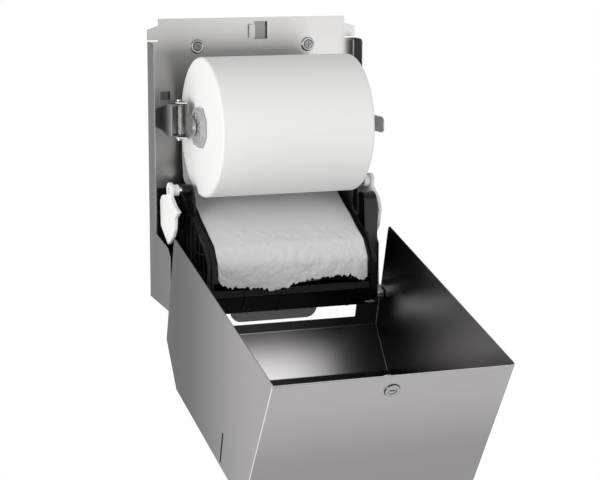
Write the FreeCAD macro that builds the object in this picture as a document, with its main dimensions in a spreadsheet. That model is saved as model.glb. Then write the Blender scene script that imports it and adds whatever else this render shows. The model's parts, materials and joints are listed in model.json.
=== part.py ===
import FreeCAD, Part
import math
import os
from FreeCAD import Placement, Rotation, Vector

# Wall-mounted lever paper towel dispenser, with its door swung down.
# Millimetres. X runs to the right, -Y comes forward off the wall, +Z is up. The origin is the
# centre of the four wall screws, on the back face of the cabinet's plate, which stands a little off
# the wall on dished seats.

doc = FreeCAD.newDocument("TowelDispenser")
sheet = doc.addObject("Spreadsheet::Sheet", "Sizes")

DRIVING_SIZES = [
    # folded steel cabinet
    ("gauge", 1.2), ("side_room", 44.0), ("plate_height", 366.0), ("top_margin", 37.0),
    ("screw_pitch_across", 155.0), ("screw_pitch_up", 254.0), ("screw_hole", 8.4),
    ("ear_width", 15.0), ("ear_drop", 9.0), ("ear_slant", 5.0), ("relief_drop", 27.5), ("relief", 2.0),
    ("flange_depth", 31.0), ("flange_corner", 8.0), ("box_depth", 93.0), ("box_height", 89.0),
    ("box_slant", 13.0), ("bottom_slope", 5.0), ("window_width", 18.0), ("window_height", 23.0),
    ("window_drop", 5.5), ("window_shift", 11.0), ("lance", 7.0), ("slot_hole", 13.0),
    ("standoff", 4.0),
    # wall screws and their cup washers
    ("cup_radius", 9.7), ("cup_height", 3.0), ("screw_head", 5.4), ("screw_shank", 2.6),
    ("screw_neck", 2.9), ("screw_length", 32.0),
    # paper
    ("paper_shift", 3.0), ("roll_length", 203.0), ("roll_radius", 89.0), ("roll_out", 100.0),
    ("roll_up", 31.0), ("core_bore", 20.0), ("core_wall", 2.0), ("sheet_thick", 0.4),
    # roll arms
    ("arm_gauge", 2.0), ("arm_stud", 5.0), ("swing_pin", 2.5), ("swing_pin_out", 60.0),
    ("pin_to_leaf", 6.0), ("bracket_reach", 14.0), ("bracket_low", 16.5), ("bracket_high", 58.5),
    ("right_reach", 25.5), ("right_arm_out", 136.0), ("right_arm_height", 20.5), ("hub_radius", 27.5),
    ("hub_thick", 6.5), ("hub_gap", 0.5), ("plug_depth", 5.5), ("plug_taper", 4.6), ("run_gap", 0.05),
    ("air_gap", 0.4),
    # feed module
    ("module_room", 5.0), ("frame_wall", 3.0), ("feed_out", 137.5), ("feed_down", 182.5),
    ("feed_roller", 10.0), ("feed_shaft", 3.5), ("pinch_roller", 6.0), ("pinch_shaft", 2.0),
    ("lever_out", 95.0), ("lever_down", 165.0), ("lever_shaft", 3.0), ("gear_width", 5.0),
    ("pinion_teeth", 9.0), ("sector_teeth", 41.0), ("backlash", 0.45), ("cover_wall", 2.0),
    ("paddle_width", 124.0), ("paddle_thick", 3.0), ("paddle_low", 222.0),
    # side latches
    ("latch_inset", 4.5), ("latch_thick", 5.0), ("latch_pin", 4.0), ("latch_pin_out", 76.0),
    ("latch_pin_down", 51.0), ("latch_ring", 10.3), ("latch_boss", 8.0),
    # door
    ("door_gauge", 1.0), ("door_gap", 0.9), ("door_depth", 194.0), ("door_top", 171.0),
    ("hinge_out", 103.0), ("hinge_down", 203.0), ("hinge_pin", 2.5), ("door_open", 105.9),
    ("mouth_half", 114.0), ("mouth_front", 136.5), ("level_slot", 5.6), ("level_slot_up", 28.0),
    ("level_slot_out", 148.0), ("level_slot_long", 40.0),
    ("lock_back", 24.0), ("lock_face", 9.7), ("lock_body", 8.0), ("lock_plug", 5.4), ("lock_long", 16.0),
]
for row, (alias, number) in enumerate(DRIVING_SIZES, start=1):
    sheet.set("A%d" % row, alias)
    sheet.set("B%d" % row, str(number))
    sheet.setAlias("B%d" % row, alias)
doc.recompute()


class Size(float):
    """A size from the sheet, or a sum of such sizes, with the expression that binds it."""

    def __new__(cls, number, text):
        made = super().__new__(cls, number)
        made.text = text
        return made

    def joined(self, sign, other, number, turned=False):
        first, second = (text_of(other), self.text) if turned else (self.text, text_of(other))
        return Size(number, "(%s %s %s)" % (first, sign, second))

    def __add__(self, other):
        return self.joined("+", other, float(self) + float(other))

    def __radd__(self, other):
        return self.joined("+", other, float(other) + float(self), turned=True)

    def __sub__(self, other):
        return self.joined("-", other, float(self) - float(other))

    def __rsub__(self, other):
        return self.joined("-", other, float(other) - float(self), turned=True)

    def __mul__(self, other):
        return self.joined("*", other, float(self) * float(other))

    def __rmul__(self, other):
        return self.joined("*", other, float(other) * float(self), turned=True)

    def __truediv__(self, other):
        return self.joined("/", other, float(self) / float(other))

    def __neg__(self):
        return Size(-float(self), "(-1 * %s)" % self.text)


def text_of(value):
    return value.text if isinstance(value, Size) else "(%r)" % float(value)


def size(alias):
    return Size(float(sheet.get(alias)), "Sizes." + alias)


def bind(item, prop, value):
    """Set one property of an object, bound to the sheet where the value comes from it."""
    if isinstance(value, Size):
        item.setExpression(prop, value.text)
    else:
        setattr(item, prop, value) if "." not in prop else item.setExpression(prop, text_of(value))


def place(item, x, y, z):
    for axis, value in zip("xyz", (x, y, z)):
        item.setExpression("Placement.Base." + axis, text_of(value))


def box(name, x, y, z):
    """A box from its lower to its upper bound along each axis."""
    item = doc.addObject("Part::Box", name)
    for prop, (low, high) in zip(("Length", "Width", "Height"), (x, y, z)):
        bind(item, prop, high - low)
    place(item, x[0], y[0], z[0])
    return item


TURNS = {"X": Rotation(Vector(0, 1, 0), 90), "Y": Rotation(Vector(1, 0, 0), -90), "Z": Rotation()}


def rod(name, axis, across, span, radius, tip_radius=None):
    """A round bar, or a cone if its far end has another radius, along an axis.

    across holds the other two coordinates in X, Y, Z order, and span the two ends.
    """
    if tip_radius is None:
        item = doc.addObject("Part::Cylinder", name)
        bind(item, "Radius", radius)
    else:
        item = doc.addObject("Part::Cone", name)
        bind(item, "Radius1", radius)
        bind(item, "Radius2", tip_radius)
    bind(item, "Height", span[1] - span[0])
    item.Placement = Placement(Vector(), TURNS[axis])
    spot = list(across)
    spot.insert("XYZ".index(axis), span[0])
    place(item, *spot)
    return item


PLANES = {"X": Rotation(Vector(1, 1, 1), 120), "Y": Rotation(Vector(1, 0, 0), 90), "Z": Rotation()}


def rounded_path(corners):
    """Lines and arcs through corners given as (a, b) or (a, b, radius of the round there)."""
    count = len(corners)
    points = [Vector(float(c[0]), float(c[1]), 0) for c in corners]
    ends = []
    for i, corner in enumerate(corners):
        radius = float(corner[2]) if len(corner) > 2 else 0.0
        before = (points[i - 1] - points[i]).normalize()
        after = (points[(i + 1) % count] - points[i]).normalize()
        if radius <= 0:
            ends.append((points[i], None, points[i]))
            continue
        half = before.getAngle(after) / 2
        reach = radius / math.tan(half)
        centre = points[i] + (before + after).normalize() * (radius / math.sin(half))
        middle = centre + (points[i] - centre).normalize() * radius
        ends.append((points[i] + before * reach, middle, points[i] + after * reach))
    path = []
    for i, (first, middle, last) in enumerate(ends):
        if middle is not None:
            path.append(Part.Arc(first, middle, last))
        following = ends[(i + 1) % count][0]
        if last.distanceToPoint(following) > 1e-6:
            path.append(Part.LineSegment(last, following))
    return path


def sheet_plate(name, axis, corners, span):
    """A plate cut to an outline: a body whose sketch lies across the axis and is padded along it.

    The outline is in (Y, Z) for axis X, in (X, Z) for axis Y and in (X, Y) for axis Z.
    """
    body = doc.addObject("PartDesign::Body", name)
    sketch = body.newObject("Sketcher::SketchObject", name + "Outline")
    sketch.AttachmentSupport = [(body.Origin.OriginFeatures[3], "")]
    sketch.MapMode = "FlatFace"
    sketch.addGeometry(rounded_path(corners), False)
    pad = body.newObject("PartDesign::Pad", name + "Pad")
    pad.Profile = sketch
    bind(pad, "Length", span[1] - span[0])
    body.Placement = Placement(Vector(), PLANES[axis])
    # the pad of a plate across Y runs towards -Y, so it starts at its upper bound
    start = {"X": (span[0], 0, 0), "Y": (0, span[1], 0), "Z": (0, 0, span[0])}[axis]
    place(body, *start)
    return body


def joined(name, pieces):
    item = doc.addObject("Part::MultiFuse", name)
    item.Shapes = pieces
    item.Refine = True
    return item


def cut(name, base, tools):
    item = doc.addObject("Part::Cut", name)
    item.Base = base
    item.Tool = tools[0] if len(tools) == 1 else joined(name + "Tools", tools)
    item.Refine = True
    return item


def several(name, pieces):
    """Like pieces that share one node, each still a solid of its own."""
    item = doc.addObject("Part::Compound", name)
    item.Links = pieces
    return item


nodes = []


def node(name, item):
    item.Label = name
    nodes.append(item)
    return item


def strip(line, near, far):
    """Outline of a strip between two distances off an open line, positive to its right."""
    points = [Vector(float(c[0]), float(c[1]), 0) for c in line]
    runs = [(b - a).normalize() for a, b in zip(points, points[1:])]

    def shifted(distance):
        moved = []
        for i, corner in enumerate(line):
            before = runs[max(i - 1, 0)]
            after = runs[min(i, len(runs) - 1)]
            sides = Vector(before.y, -before.x, 0) + Vector(after.y, -after.x, 0)
            spot = points[i] + sides * (distance / (1 + before.dot(after)))
            bend = 1 if before.x * after.y - before.y * after.x > 0 else -1
            radius = corner[2] + bend * distance if len(corner) > 2 else 0
            moved.append((spot.x, spot.y, radius))
        return moved

    return shifted(float(near)) + shifted(float(far))[::-1]


def mirrored_outline(corners):
    return [(-c[0],) + tuple(c[1:]) for c in reversed(corners)]


# ------------------------------------------------------------------ cabinet
gauge = size("gauge")
half_width = size("roll_length") / 2 + size("side_room")
plate_top = size("screw_pitch_up") / 2 + size("top_margin")
plate_low = plate_top - size("plate_height")
front_face = -gauge
screw_x = size("screw_pitch_across") / 2
screw_z = size("screw_pitch_up") / 2
hinge_y = -size("hinge_out")
hinge_z = -size("hinge_down")

ear_in = half_width - size("ear_width")
relief_top = plate_top - size("relief_drop")
box_top = plate_low + size("box_height")


back_outline = [
    (-ear_in, plate_top), (-ear_in, plate_top - size("ear_drop")),
    (-half_width, plate_top - size("ear_drop") - size("ear_slant")), (-half_width, relief_top),
    (-ear_in, relief_top), (-ear_in, relief_top - size("relief")),
    (-half_width, relief_top - size("relief")), (-half_width, plate_low),
]
back_outline = back_outline + mirrored_outline(back_outline)
back_panel = sheet_plate("BackPanel", "Y", back_outline, (front_face, 0))

hinge_lobe = 6.2
lobe_relief = 2.8
flange_outline = [
    (0, relief_top - size("relief")),
    (-size("flange_depth"), relief_top - size("relief"), size("flange_corner")),
    (-size("flange_depth"), box_top),
    (-size("box_depth") + 8, box_top - size("box_slant")),
    (-size("box_depth"), box_top - size("box_slant") - 8),
    (-size("box_depth"), hinge_z + 14),
    (hinge_y - hinge_lobe, hinge_z + hinge_lobe + 2, 3),
    (hinge_y - hinge_lobe, hinge_z - hinge_lobe, hinge_lobe - 0.1),
    (hinge_y + hinge_lobe, hinge_z - hinge_lobe, hinge_lobe - 0.1),
    (hinge_y + hinge_lobe, hinge_z + lobe_relief),
    (-size("box_depth") + lobe_relief, hinge_z + lobe_relief),
    (-size("box_depth") + lobe_relief, plate_low - size("bottom_slope")),
    (0, plate_low),
]
side_flanges = [
    sheet_plate("LeftFlange", "X", flange_outline, (-half_width, gauge - half_width)),
    sheet_plate("RightFlange", "X", flange_outline, (half_width - gauge, half_width)),
]
bottom_lip = box("BottomLip", (gauge - half_width, half_width - gauge), (-14, 0),
                 (plate_low, plate_low + gauge))

window_x = size("window_shift") - size("window_width") / 2
window_top = plate_top - size("window_drop")
window_low = window_top - size("window_height")
window_span = (window_x, window_x + size("window_width"))
window = box("CatchWindow", window_span, (-5, 1), (window_low, window_top))
lance_levels = (window_low + 2, window_top - 4)
lance_slit = box("LanceSlit", (window_x - size("lance"), window_x), (-5, 1), lance_levels)
slot_low = size("bracket_high") - 0.5
slot_side = 17.0
slot_span = (slot_side - half_width, slot_side - half_width + size("slot_hole"))
slot_levels = (slot_low, slot_low + 11)
arm_slot = box("ArmSlot", slot_span, (-5, 1), slot_levels)

# pockets close the openings behind, and dished seats under the screws keep the plate off the wall
standoff = size("standoff")
pocket_back = standoff - 0.1
pocket_room = 0.8
pocket_shells = []
pocket_hollows = []
for k, (across, levels) in enumerate(((window_span, (window_low, window_top)), (slot_span, slot_levels))):
    left = across[0] - (size("lance") if k == 0 else 0) - pocket_room
    wide = (left, across[1] + pocket_room)
    high = (levels[0] - pocket_room, levels[1] + pocket_room)
    pocket_hollows.append(box("PocketHollow%d" % k, wide, (0, pocket_back - gauge), high))
    pocket_shells.append(box("PocketShell%d" % k, (wide[0] - gauge, wide[1] + gauge), (0, pocket_back),
                             (high[0] - gauge, high[1] + gauge)))
seat_front = 8.6
seat_back = 8.0
screw_spots = [(sx * screw_x, sz * screw_z) for sz in (1, -1) for sx in (-1, 1)]
seats = [rod("Seat%d" % i, "Y", spot, (0, standoff), seat_front + 1.6, seat_back)
         for i, spot in enumerate(screw_spots)]
dishes = [rod("SeatDish%d" % i, "Y", spot, (front_face, standoff - gauge), seat_front, seat_back - gauge)
          for i, spot in enumerate(screw_spots)]
screw_holes = [rod("ScrewHole%d" % i, "Y", spot, (-5, standoff + 1), size("screw_hole") / 2)
               for i, spot in enumerate(screw_spots)]
hinge_holes = [rod("HingeHole%d" % i, "X", (hinge_y, hinge_z), (low, low + 20), size("hinge_pin"))
               for i, low in enumerate((-half_width - 5, half_width - 15))]
lance_out = -4.2
lance_tab = box("LanceTab", (window_x - size("lance"), window_x), (lance_out, lance_out + gauge),
                lance_levels)
lance_root = box("LanceRoot", (window_x - size("lance") - gauge, window_x - size("lance")),
                 (lance_out, front_face), lance_levels)
cabinet_blank = joined("CabinetBlank", [back_panel, bottom_lip, lance_root] + side_flanges
                       + pocket_shells + seats)
cabinet_cut = cut("CabinetCut", cabinet_blank, [window, lance_slit, arm_slot] + pocket_hollows + dishes
                  + screw_holes + hinge_holes)
node("cabinet", joined("Cabinet", [cabinet_cut, lance_tab]))

# ------------------------------------------------------------------ wall screws
cups = []
screws = []
for i, spot in enumerate(screw_spots):
    cup_front = front_face - size("cup_height")
    cup = rod("Cup%d" % i, "Y", spot, (cup_front, front_face), size("cup_radius") - 1.6,
              size("cup_radius"))
    dish = rod("CupDish%d" % i, "Y", spot, (cup_front, front_face - 0.8), size("screw_head") + 1.6,
               size("screw_neck") + 0.3)
    hole = rod("CupHole%d" % i, "Y", spot, (-6, 0), size("screw_neck") + 0.2)
    cups.append(cut("CupWasher%d" % i, cup, [dish, hole]))
    head = rod("Head%d" % i, "Y", spot, (cup_front + 0.2, front_face - 0.8), size("screw_head"),
               size("screw_neck"))
    neck = rod("Neck%d" % i, "Y", spot, (front_face - 0.8, 0), size("screw_neck"))
    shank = rod("Shank%d" % i, "Y", spot, (0, size("screw_length")), size("screw_shank"))
    bit = box("Bit%d" % i, (spot[0] - 0.6, spot[0] + 0.6), (cup_front - 1, cup_front + 1.4),
              (spot[1] - 3.2, spot[1] + 3.2))
    bit_across = box("BitAcross%d" % i, (spot[0] - 3.2, spot[0] + 3.2), (cup_front - 1, cup_front + 1.4),
                     (spot[1] - 0.6, spot[1] + 0.6))
    screws.append(cut("WallScrew%d" % i, joined("ScrewBlank%d" % i, [head, neck, shank]), [bit, bit_across]))
node("cup_washers", several("CupWashers", cups))
node("wall_screws", several("WallScrews", screws))

# ------------------------------------------------------------------ roll, core and hubs
roll_y = -size("roll_out")
roll_z = size("roll_up")
roll_left = -size("roll_length") / 2 - size("paper_shift")
roll_right = roll_left + size("roll_length")
core_radius = size("core_bore") + size("core_wall")
axis_spot = (roll_y, roll_z)
node("paper_roll", cut("PaperRoll", rod("RollOuter", "X", axis_spot, (roll_left, roll_right),
                                        size("roll_radius")),
                       [rod("RollBore", "X", axis_spot, (roll_left - 1, roll_right + 1), core_radius)]))
node("roll_core", cut("RollCore", rod("CoreOuter", "X", axis_spot, (roll_left, roll_right), core_radius),
                      [rod("CoreBore", "X", axis_spot, (roll_left - 1, roll_right + 1),
                           size("core_bore"))]))


def octagon(centre, radius, corner=2.0):
    """Corners of an octagon with its flats up and down, whose corners lie at the radius."""
    return [(centre[0] + radius * math.cos(math.radians(22.5 + 45 * k)),
             centre[1] + radius * math.sin(math.radians(22.5 + 45 * k)), corner) for k in range(8)]


def hub(name, root, inward):
    """A finned octagonal hub that points into the roll: along +X if inward is 1, along -X if -1."""
    face = root + inward * size("hub_thick")
    disc_span = (face - 2.5, face) if inward > 0 else (face, face + 2.5)
    disc = sheet_plate(name + "Disc", "X", octagon(axis_spot, size("hub_radius")), disc_span)
    low, high = (root, face) if inward > 0 else (face, root)
    rim = sheet_plate(name + "Rim", "X", octagon(axis_spot, size("hub_radius") - 3), (low, high))
    hollow = rod(name + "Hollow", "X", axis_spot,
                 (root - 1, face - 2.5) if inward > 0 else (face + 2.5, root + 1),
                 size("hub_radius") - 7)
    rim_ring = cut(name + "Ring", rim, [hollow])
    fins = []
    for k in range(4):
        fin = box("%sFin%d" % (name, k), (low, high), (-size("hub_radius") + 5, size("hub_radius") - 5),
                  (-0.9, 0.9))
        fin.Placement = Placement(Vector(float(low), float(roll_y), float(roll_z)),
                                  Rotation(Vector(1, 0, 0), 45 * k)) * Placement(
            Vector(0, 5 - float(size("hub_radius")), -0.9), Rotation())
        fin.setExpression("Placement.Base.x", None)
        fin.setExpression("Placement.Base.y", None)
        fin.setExpression("Placement.Base.z", None)
        fins.append(fin)
    boss = rod(name + "Boss", "X", axis_spot, (low, high), size("arm_stud") + 3.5)
    return [rim_ring, disc, boss] + fins, face


# the left hub turns on the stud of the sprung arm, close to the roll's end
left_root = roll_left - size("hub_gap") - size("hub_thick")
left_pieces, left_face = hub("LeftHub", left_root, 1)
plug_base = size("core_bore") - size("air_gap")
left_plug = rod("LeftPlug", "X", axis_spot, (left_face, left_face + size("plug_depth") + 1), plug_base,
                plug_base - size("plug_taper"))
left_plug_hollow = rod("LeftPlugHollow", "X", axis_spot,
                       (left_face + 1.5, left_face + size("plug_depth") + 3),
                       plug_base - size("plug_taper") - 3)
left_bore = rod("LeftHubBore", "X", axis_spot, (left_root - 2, left_face + size("plug_depth") + 3),
                size("arm_stud") + size("run_gap"))
left_neck = rod("LeftHubNeck", "X", axis_spot, (left_face, left_face + size("plug_depth")),
                size("arm_stud") + 3.5)
left_shell = cut("LeftPlugShell", left_plug, [left_plug_hollow])
node("left_hub", cut("LeftHubBody", joined("LeftHubBlank", left_pieces + [left_shell, left_neck]),
                     [left_bore]))

# the right hub is pushed into the core and turns with the roll on the fixed arm's stud
right_root = roll_right + size("hub_gap") + size("hub_thick")
right_arm_face = right_root + size("right_reach")
right_pieces, right_face = hub("RightHub", right_root, -1)
right_plug = rod("RightPlug", "X", axis_spot, (right_face - size("plug_depth") - 4, right_face),
                 size("core_bore"))
right_sleeve = rod("RightSleeve", "X", axis_spot, (right_root - 1, right_arm_face - size("air_gap")),
                   size("arm_stud") + 3.5)
right_bore = rod("RightHubBore", "X", axis_spot, (right_face - 30, right_arm_face + 2),
                 size("arm_stud") + size("run_gap"))
node("right_hub", cut("RightHubBody", joined("RightHubBlank", right_pieces + [right_plug, right_sleeve]),
                      [right_bore]))

# ------------------------------------------------------------------ roll arms
arm_gauge = size("arm_gauge")
leaf_x = left_root - 1.0 - arm_gauge
pin_x = leaf_x - size("pin_to_leaf")
pin_y = -size("swing_pin_out")
bracket_x = pin_x - size("bracket_reach")
low_z = size("bracket_low")
high_z = size("bracket_high")

# the bracket's side web narrows towards its foot on the plate, and its ears hold the swing pin
web_front = pin_y - 10
foot_low = low_z + 6.5
foot_high = high_z - 11.5
bracket_web = sheet_plate("BracketWeb", "X", [
    (front_face, foot_low), (-27, foot_low - 1.5, 6), (pin_y - 2, low_z, 4), (web_front, low_z, 2),
    (web_front, high_z, 2), (pin_y + 4, high_z, 6), (front_face, foot_high)],
    (bracket_x, bracket_x + arm_gauge))
bracket_foot = box("BracketFoot", (bracket_x, bracket_x + 22), (front_face - arm_gauge, front_face),
                   (foot_low, foot_high))
ear_reach = 5.2
ear_outline = [(bracket_x, pin_y + 12), (bracket_x, web_front, 2), (pin_x - 6, web_front, 3),
               (pin_x - 1, pin_y - ear_reach, 3), (pin_x + ear_reach, pin_y - ear_reach, ear_reach - 0.1),
               (pin_x + ear_reach, pin_y + 12, 3)]
bracket_ears = [
    sheet_plate("BracketLowEar", "Z", ear_outline, (low_z, low_z + arm_gauge)),
    sheet_plate("BracketHighEar", "Z", ear_outline, (high_z - arm_gauge, high_z)),
]
bracket_pin_hole = rod("BracketPinHole", "Z", (pin_x, pin_y), (low_z - 5, high_z + 5), size("swing_pin"))
rivet_x = bracket_x + 14
rivet_radius = 2.0
left_rivet_levels = (foot_low + 6, foot_high - 6)
left_rivet_holes = [rod("LeftRivetHole%d" % k, "Y", (rivet_x, z), (-8, 5), rivet_radius)
                    for k, z in enumerate(left_rivet_levels)]
node("left_bracket", cut("LeftBracket", joined("LeftBracketBlank",
                                               [bracket_web, bracket_foot] + bracket_ears),
                         [bracket_pin_hole] + left_rivet_holes))

# the arm's ears lie outside the bracket's, under the heads of the pin
arm_low = low_z - size("air_gap") - arm_gauge
arm_high = high_z + size("air_gap") + arm_gauge
head_low = arm_low - size("air_gap")
head_high = arm_high + size("air_gap")
pin_body = rod("PinBody", "Z", (pin_x, pin_y), (head_low - 1, head_high + 1), size("swing_pin"))
pin_heads = [rod("PinHead%d" % k, "Z", (pin_x, pin_y), span, size("swing_pin") + 1.4)
             for k, span in enumerate(((head_low - 2.5, head_low), (head_high, head_high + 2.5)))]
node("arm_pin", joined("ArmPin", [pin_body] + pin_heads))

leaf = sheet_plate("ArmLeaf", "X", [
    (pin_y + 5, arm_low, 2), (pin_y - 17, arm_low, 4), (pin_y - 20, roll_z - 12, 2),
    (roll_y - 9, roll_z - 9, 8.5), (roll_y - 9, roll_z + 9, 8.5), (pin_y - 19, roll_z + 17, 2),
    (pin_y - 17, arm_high, 4), (pin_y + 5, arm_high, 2)],
    (leaf_x, leaf_x + arm_gauge))
ear_round = size("swing_pin") + 3.5
arm_ear_outline = [(leaf_x, pin_y + 5), (pin_x - ear_round, pin_y + ear_round, ear_round - 0.1),
                   (pin_x - ear_round, pin_y - ear_round, ear_round - 0.1), (leaf_x, pin_y - 14)]
arm_ears = [
    sheet_plate("ArmLowEar", "Z", arm_ear_outline, (arm_low, arm_low + arm_gauge)),
    sheet_plate("ArmHighEar", "Z", arm_ear_outline, (arm_high - arm_gauge, arm_high)),
]
arm_hole = rod("ArmPinHole", "Z", (pin_x, pin_y), (arm_low - 1, arm_high + 1),
               size("swing_pin") + size("run_gap"))
arm_stud = rod("LeftStud", "X", axis_spot, (leaf_x, left_face + size("plug_depth") + 1.5),
               size("arm_stud"))
stud_head = rod("LeftStudHead", "X", axis_spot, (leaf_x - 1.2, leaf_x), size("arm_stud") - 1.8,
                size("arm_stud") - 0.8)
node("left_arm", cut("LeftArm", joined("LeftArmBlank", [leaf, arm_stud, stud_head] + arm_ears),
                     [arm_hole]))

coil_radius = size("swing_pin") + 1.3
tail_sink = 0.3


def wire_coil(name, axis_point, turns, radius, wire, pitch, start_tail, end_tail):
    """A torsion spring of round wire along +Z, its two straight tails given as vectors in its own plane."""
    helix = Part.makeHelix(pitch, pitch * turns, radius)
    section = Part.Wire(Part.makeCircle(wire, Vector(radius, 0, 0), Vector(0, 1, 0)))
    coil = Part.Wire(helix.Edges).makePipeShell([section], True, True)
    last = Vector(radius * math.cos(2 * math.pi * turns), radius * math.sin(2 * math.pi * turns),
                  pitch * turns)
    tails = []
    for root, tail in ((Vector(radius, 0, 0), start_tail), (last, end_tail)):
        sunk = Vector(tail).normalize() * tail_sink
        tails.append(Part.makeCylinder(wire, tail.Length, root - sunk, tail))
    shape = coil.fuse(tails).removeSplitter()
    item = doc.addObject("Part::Feature", name)
    item.Shape = shape
    item.Placement = Placement(axis_point, Rotation())
    return item


spring_wire = 0.6
spring_turns = 12.25
spring_low = float(low_z + arm_gauge) + 1.4
spring_pitch = (float(high_z - arm_gauge) - 1.4 - spring_low) / spring_turns
node("arm_spring", wire_coil("ArmSpring", Vector(float(pin_x), float(pin_y), spring_low), spring_turns,
                             float(coil_radius), spring_wire, spring_pitch, Vector(0, 8, 0),
                             Vector(-9, 0, 0)))

arm_x = right_arm_face
arm_half = size("right_arm_height") / 2
right_leaf = sheet_plate("RightLeaf", "X", [
    (front_face, roll_z - 2 - arm_half), (-size("right_arm_out"), roll_z - 2 - arm_half, 8),
    (-size("right_arm_out"), roll_z - 2 + arm_half, 8), (front_face, roll_z - 2 + arm_half)],
    (arm_x, arm_x + arm_gauge))
right_foot = box("RightFoot", (arm_x - 20, arm_x + arm_gauge), (front_face - arm_gauge, front_face),
                 (roll_z - 2 - arm_half, roll_z - 2 + arm_half))
right_stud = rod("RightStud", "X", axis_spot, (right_face - 8, arm_x + 1), size("arm_stud"))
right_rivet_spots = [(arm_x - 11, roll_z - 2 + rise) for rise in (-5.5, 5.5)]
right_rivet_holes = [rod("RightRivetHole%d" % k, "Y", spot, (-8, 5), rivet_radius)
                     for k, spot in enumerate(right_rivet_spots)]
node("right_arm", cut("RightArm", joined("RightArmBlank", [right_leaf, right_foot, right_stud]),
                      right_rivet_holes))

rivets = []
rivet_spots = [(rivet_x, z) for z in left_rivet_levels] + right_rivet_spots
for k, spot in enumerate(rivet_spots):
    rivet_face = front_face - arm_gauge
    rivets.append(joined("Rivet%d" % k, [
        rod("RivetShank%d" % k, "Y", spot, (rivet_face, front_face), rivet_radius),
        rod("RivetHead%d" % k, "Y", spot, (rivet_face - 1.2, rivet_face), 2.6, 3.6)]))
node("arm_rivets", several("ArmRivets", rivets))

# ------------------------------------------------------------------ feed module: side frames and cover
module_left = roll_left - size("module_room")
module_right = roll_right + size("module_room")
frame_wall = size("frame_wall")
feed_spot = (-size("feed_out"), -size("feed_down"))
nip = size("feed_roller") + size("sheet_thick") + 0.1 + size("pinch_roller")
slant = math.sqrt(0.5)
pinch_spot = (feed_spot[0] + nip * slant, feed_spot[1] + nip * slant)
lever_spot = (-size("lever_out"), -size("lever_down"))
latch_spot = (-size("latch_pin_out"), -size("latch_pin_down"))

# the side frames wrap the rollers in front, rise to the latch pin and reach back to the cabinet
module_low = feed_spot[1] - 13.5
nose_low = module_low - 6
latch_top = latch_spot[1] + 11
frame_outline = [
    (front_face, -58), (front_face, module_low, 2), (lever_spot[0] - 9, module_low, 6),
    (pinch_spot[0], nose_low, 6), (feed_spot[0] - 8.5, module_low, 6),
                 (feed_spot[0] - 27.5, feed_spot[1] + 6.5, 8),
    (feed_spot[0] - 30.5, -134, 14), (-152, -113, 10), (-96, -82, 12),
                 (latch_spot[0] - 11, latch_spot[1], 11),
    (latch_spot[0], latch_top, 11), (latch_spot[0] + 11, latch_spot[1], 11),
    (latch_spot[0] + 14, latch_spot[1] - 10, 6), (-34, -48, 6),
]
foot_width = 22.0
foot_thick = 3.0
foot_levels = (-78, -180)
foot_hole_in = 8.5
foot_screw = 1.9
bush_wall = 1.5


def side_frame(name, low, high, foot_low, foot_high):
    """The wall of a side frame, its screwed back flange, and the holes for the screws and shafts."""
    wall = sheet_plate(name + "Wall", "X", frame_outline, (low, high))
    foot_x = foot_high - foot_hole_in if high < 0 else foot_low + foot_hole_in
    foot = box(name + "Foot", (foot_low, foot_high), (front_face - foot_thick, front_face),
               (module_low, -58))
    holes = [rod("%sFootHole%d" % (name, k), "Y", (foot_x, z), (-9, 1), foot_screw)
             for k, z in enumerate(foot_levels)]
    past = (low - 20, high + 20)
    bores = [
        rod(name + "FeedBore", "X", feed_spot, past, size("feed_shaft") + size("run_gap") + bush_wall),
        rod(name + "PinchBore", "X", pinch_spot, past, size("pinch_shaft") + size("run_gap")),
        rod(name + "LeverBore", "X", lever_spot, past, size("lever_shaft") + size("run_gap")),
    ]
    return wall, foot, holes + bores


left_low = module_left - frame_wall
right_high = module_right + frame_wall
rib_out = 4.0
left_wall, left_foot, left_holes = side_frame("LeftFrame", left_low, module_left, left_low - foot_width,
                                              left_low)
rim_inner = [(-8, -64), (-8, -190), (-102, -190, 4), (-126, -196, 4), (-142, -190, 4), (-158, -173, 6),
             (-161, -136, 10), (-148, -119, 8), (-92, -88, 4), (-40, -62, 4)]
rim_outer = [(-2, -60), (-2, -195), (-104, -195, 6), (-126, -201, 6), (-145, -195, 6), (-163, -175, 8),
             (-166, -135, 14), (-151, -114, 10), (-95, -83, 6), (-38, -52, 4)]
left_rim = cut("LeftRim", sheet_plate("LeftRimOuter", "X", rim_outer, (left_low - rib_out, left_low)),
               [sheet_plate("LeftRimInner", "X", rim_inner, (left_low - rib_out - 1, left_low + 0.01))])
left_ribs = [box("LeftRib%d" % k, (left_low - rib_out, left_low), (y - 1.0, y + 1.0), (low, high))
             for k, (y, low, high) in enumerate(((-74, -192, -78), (-92, -192, -88), (-112, -194, -99),
                                                 (-128, -196, -108), (-146, -188, -118),
                                                 (-40, -192, -62)))]
left_rails = [box("LeftRail%d" % k, (left_low - rib_out, left_low), (far, near), (z - 1.0, z + 1.0))
              for k, (far, near, z) in enumerate(((-142, -74, -126), (-150, -40, -150)))]
latch_boss = size("latch_pin") + 3.0
left_boss = rod("LeftLatchBoss", "X", latch_spot, (left_low - 11, left_low), latch_boss)
left_latch_bore = rod("LeftLatchBore", "X", latch_spot, (left_low - 20, module_left + 1),
                      size("latch_pin"))
node("left_frame", cut("LeftFrameBody", joined(
    "LeftFrameBlank", [left_wall, left_rim, left_boss, left_foot] + left_ribs + left_rails),
    left_holes + [left_latch_bore]))

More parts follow.
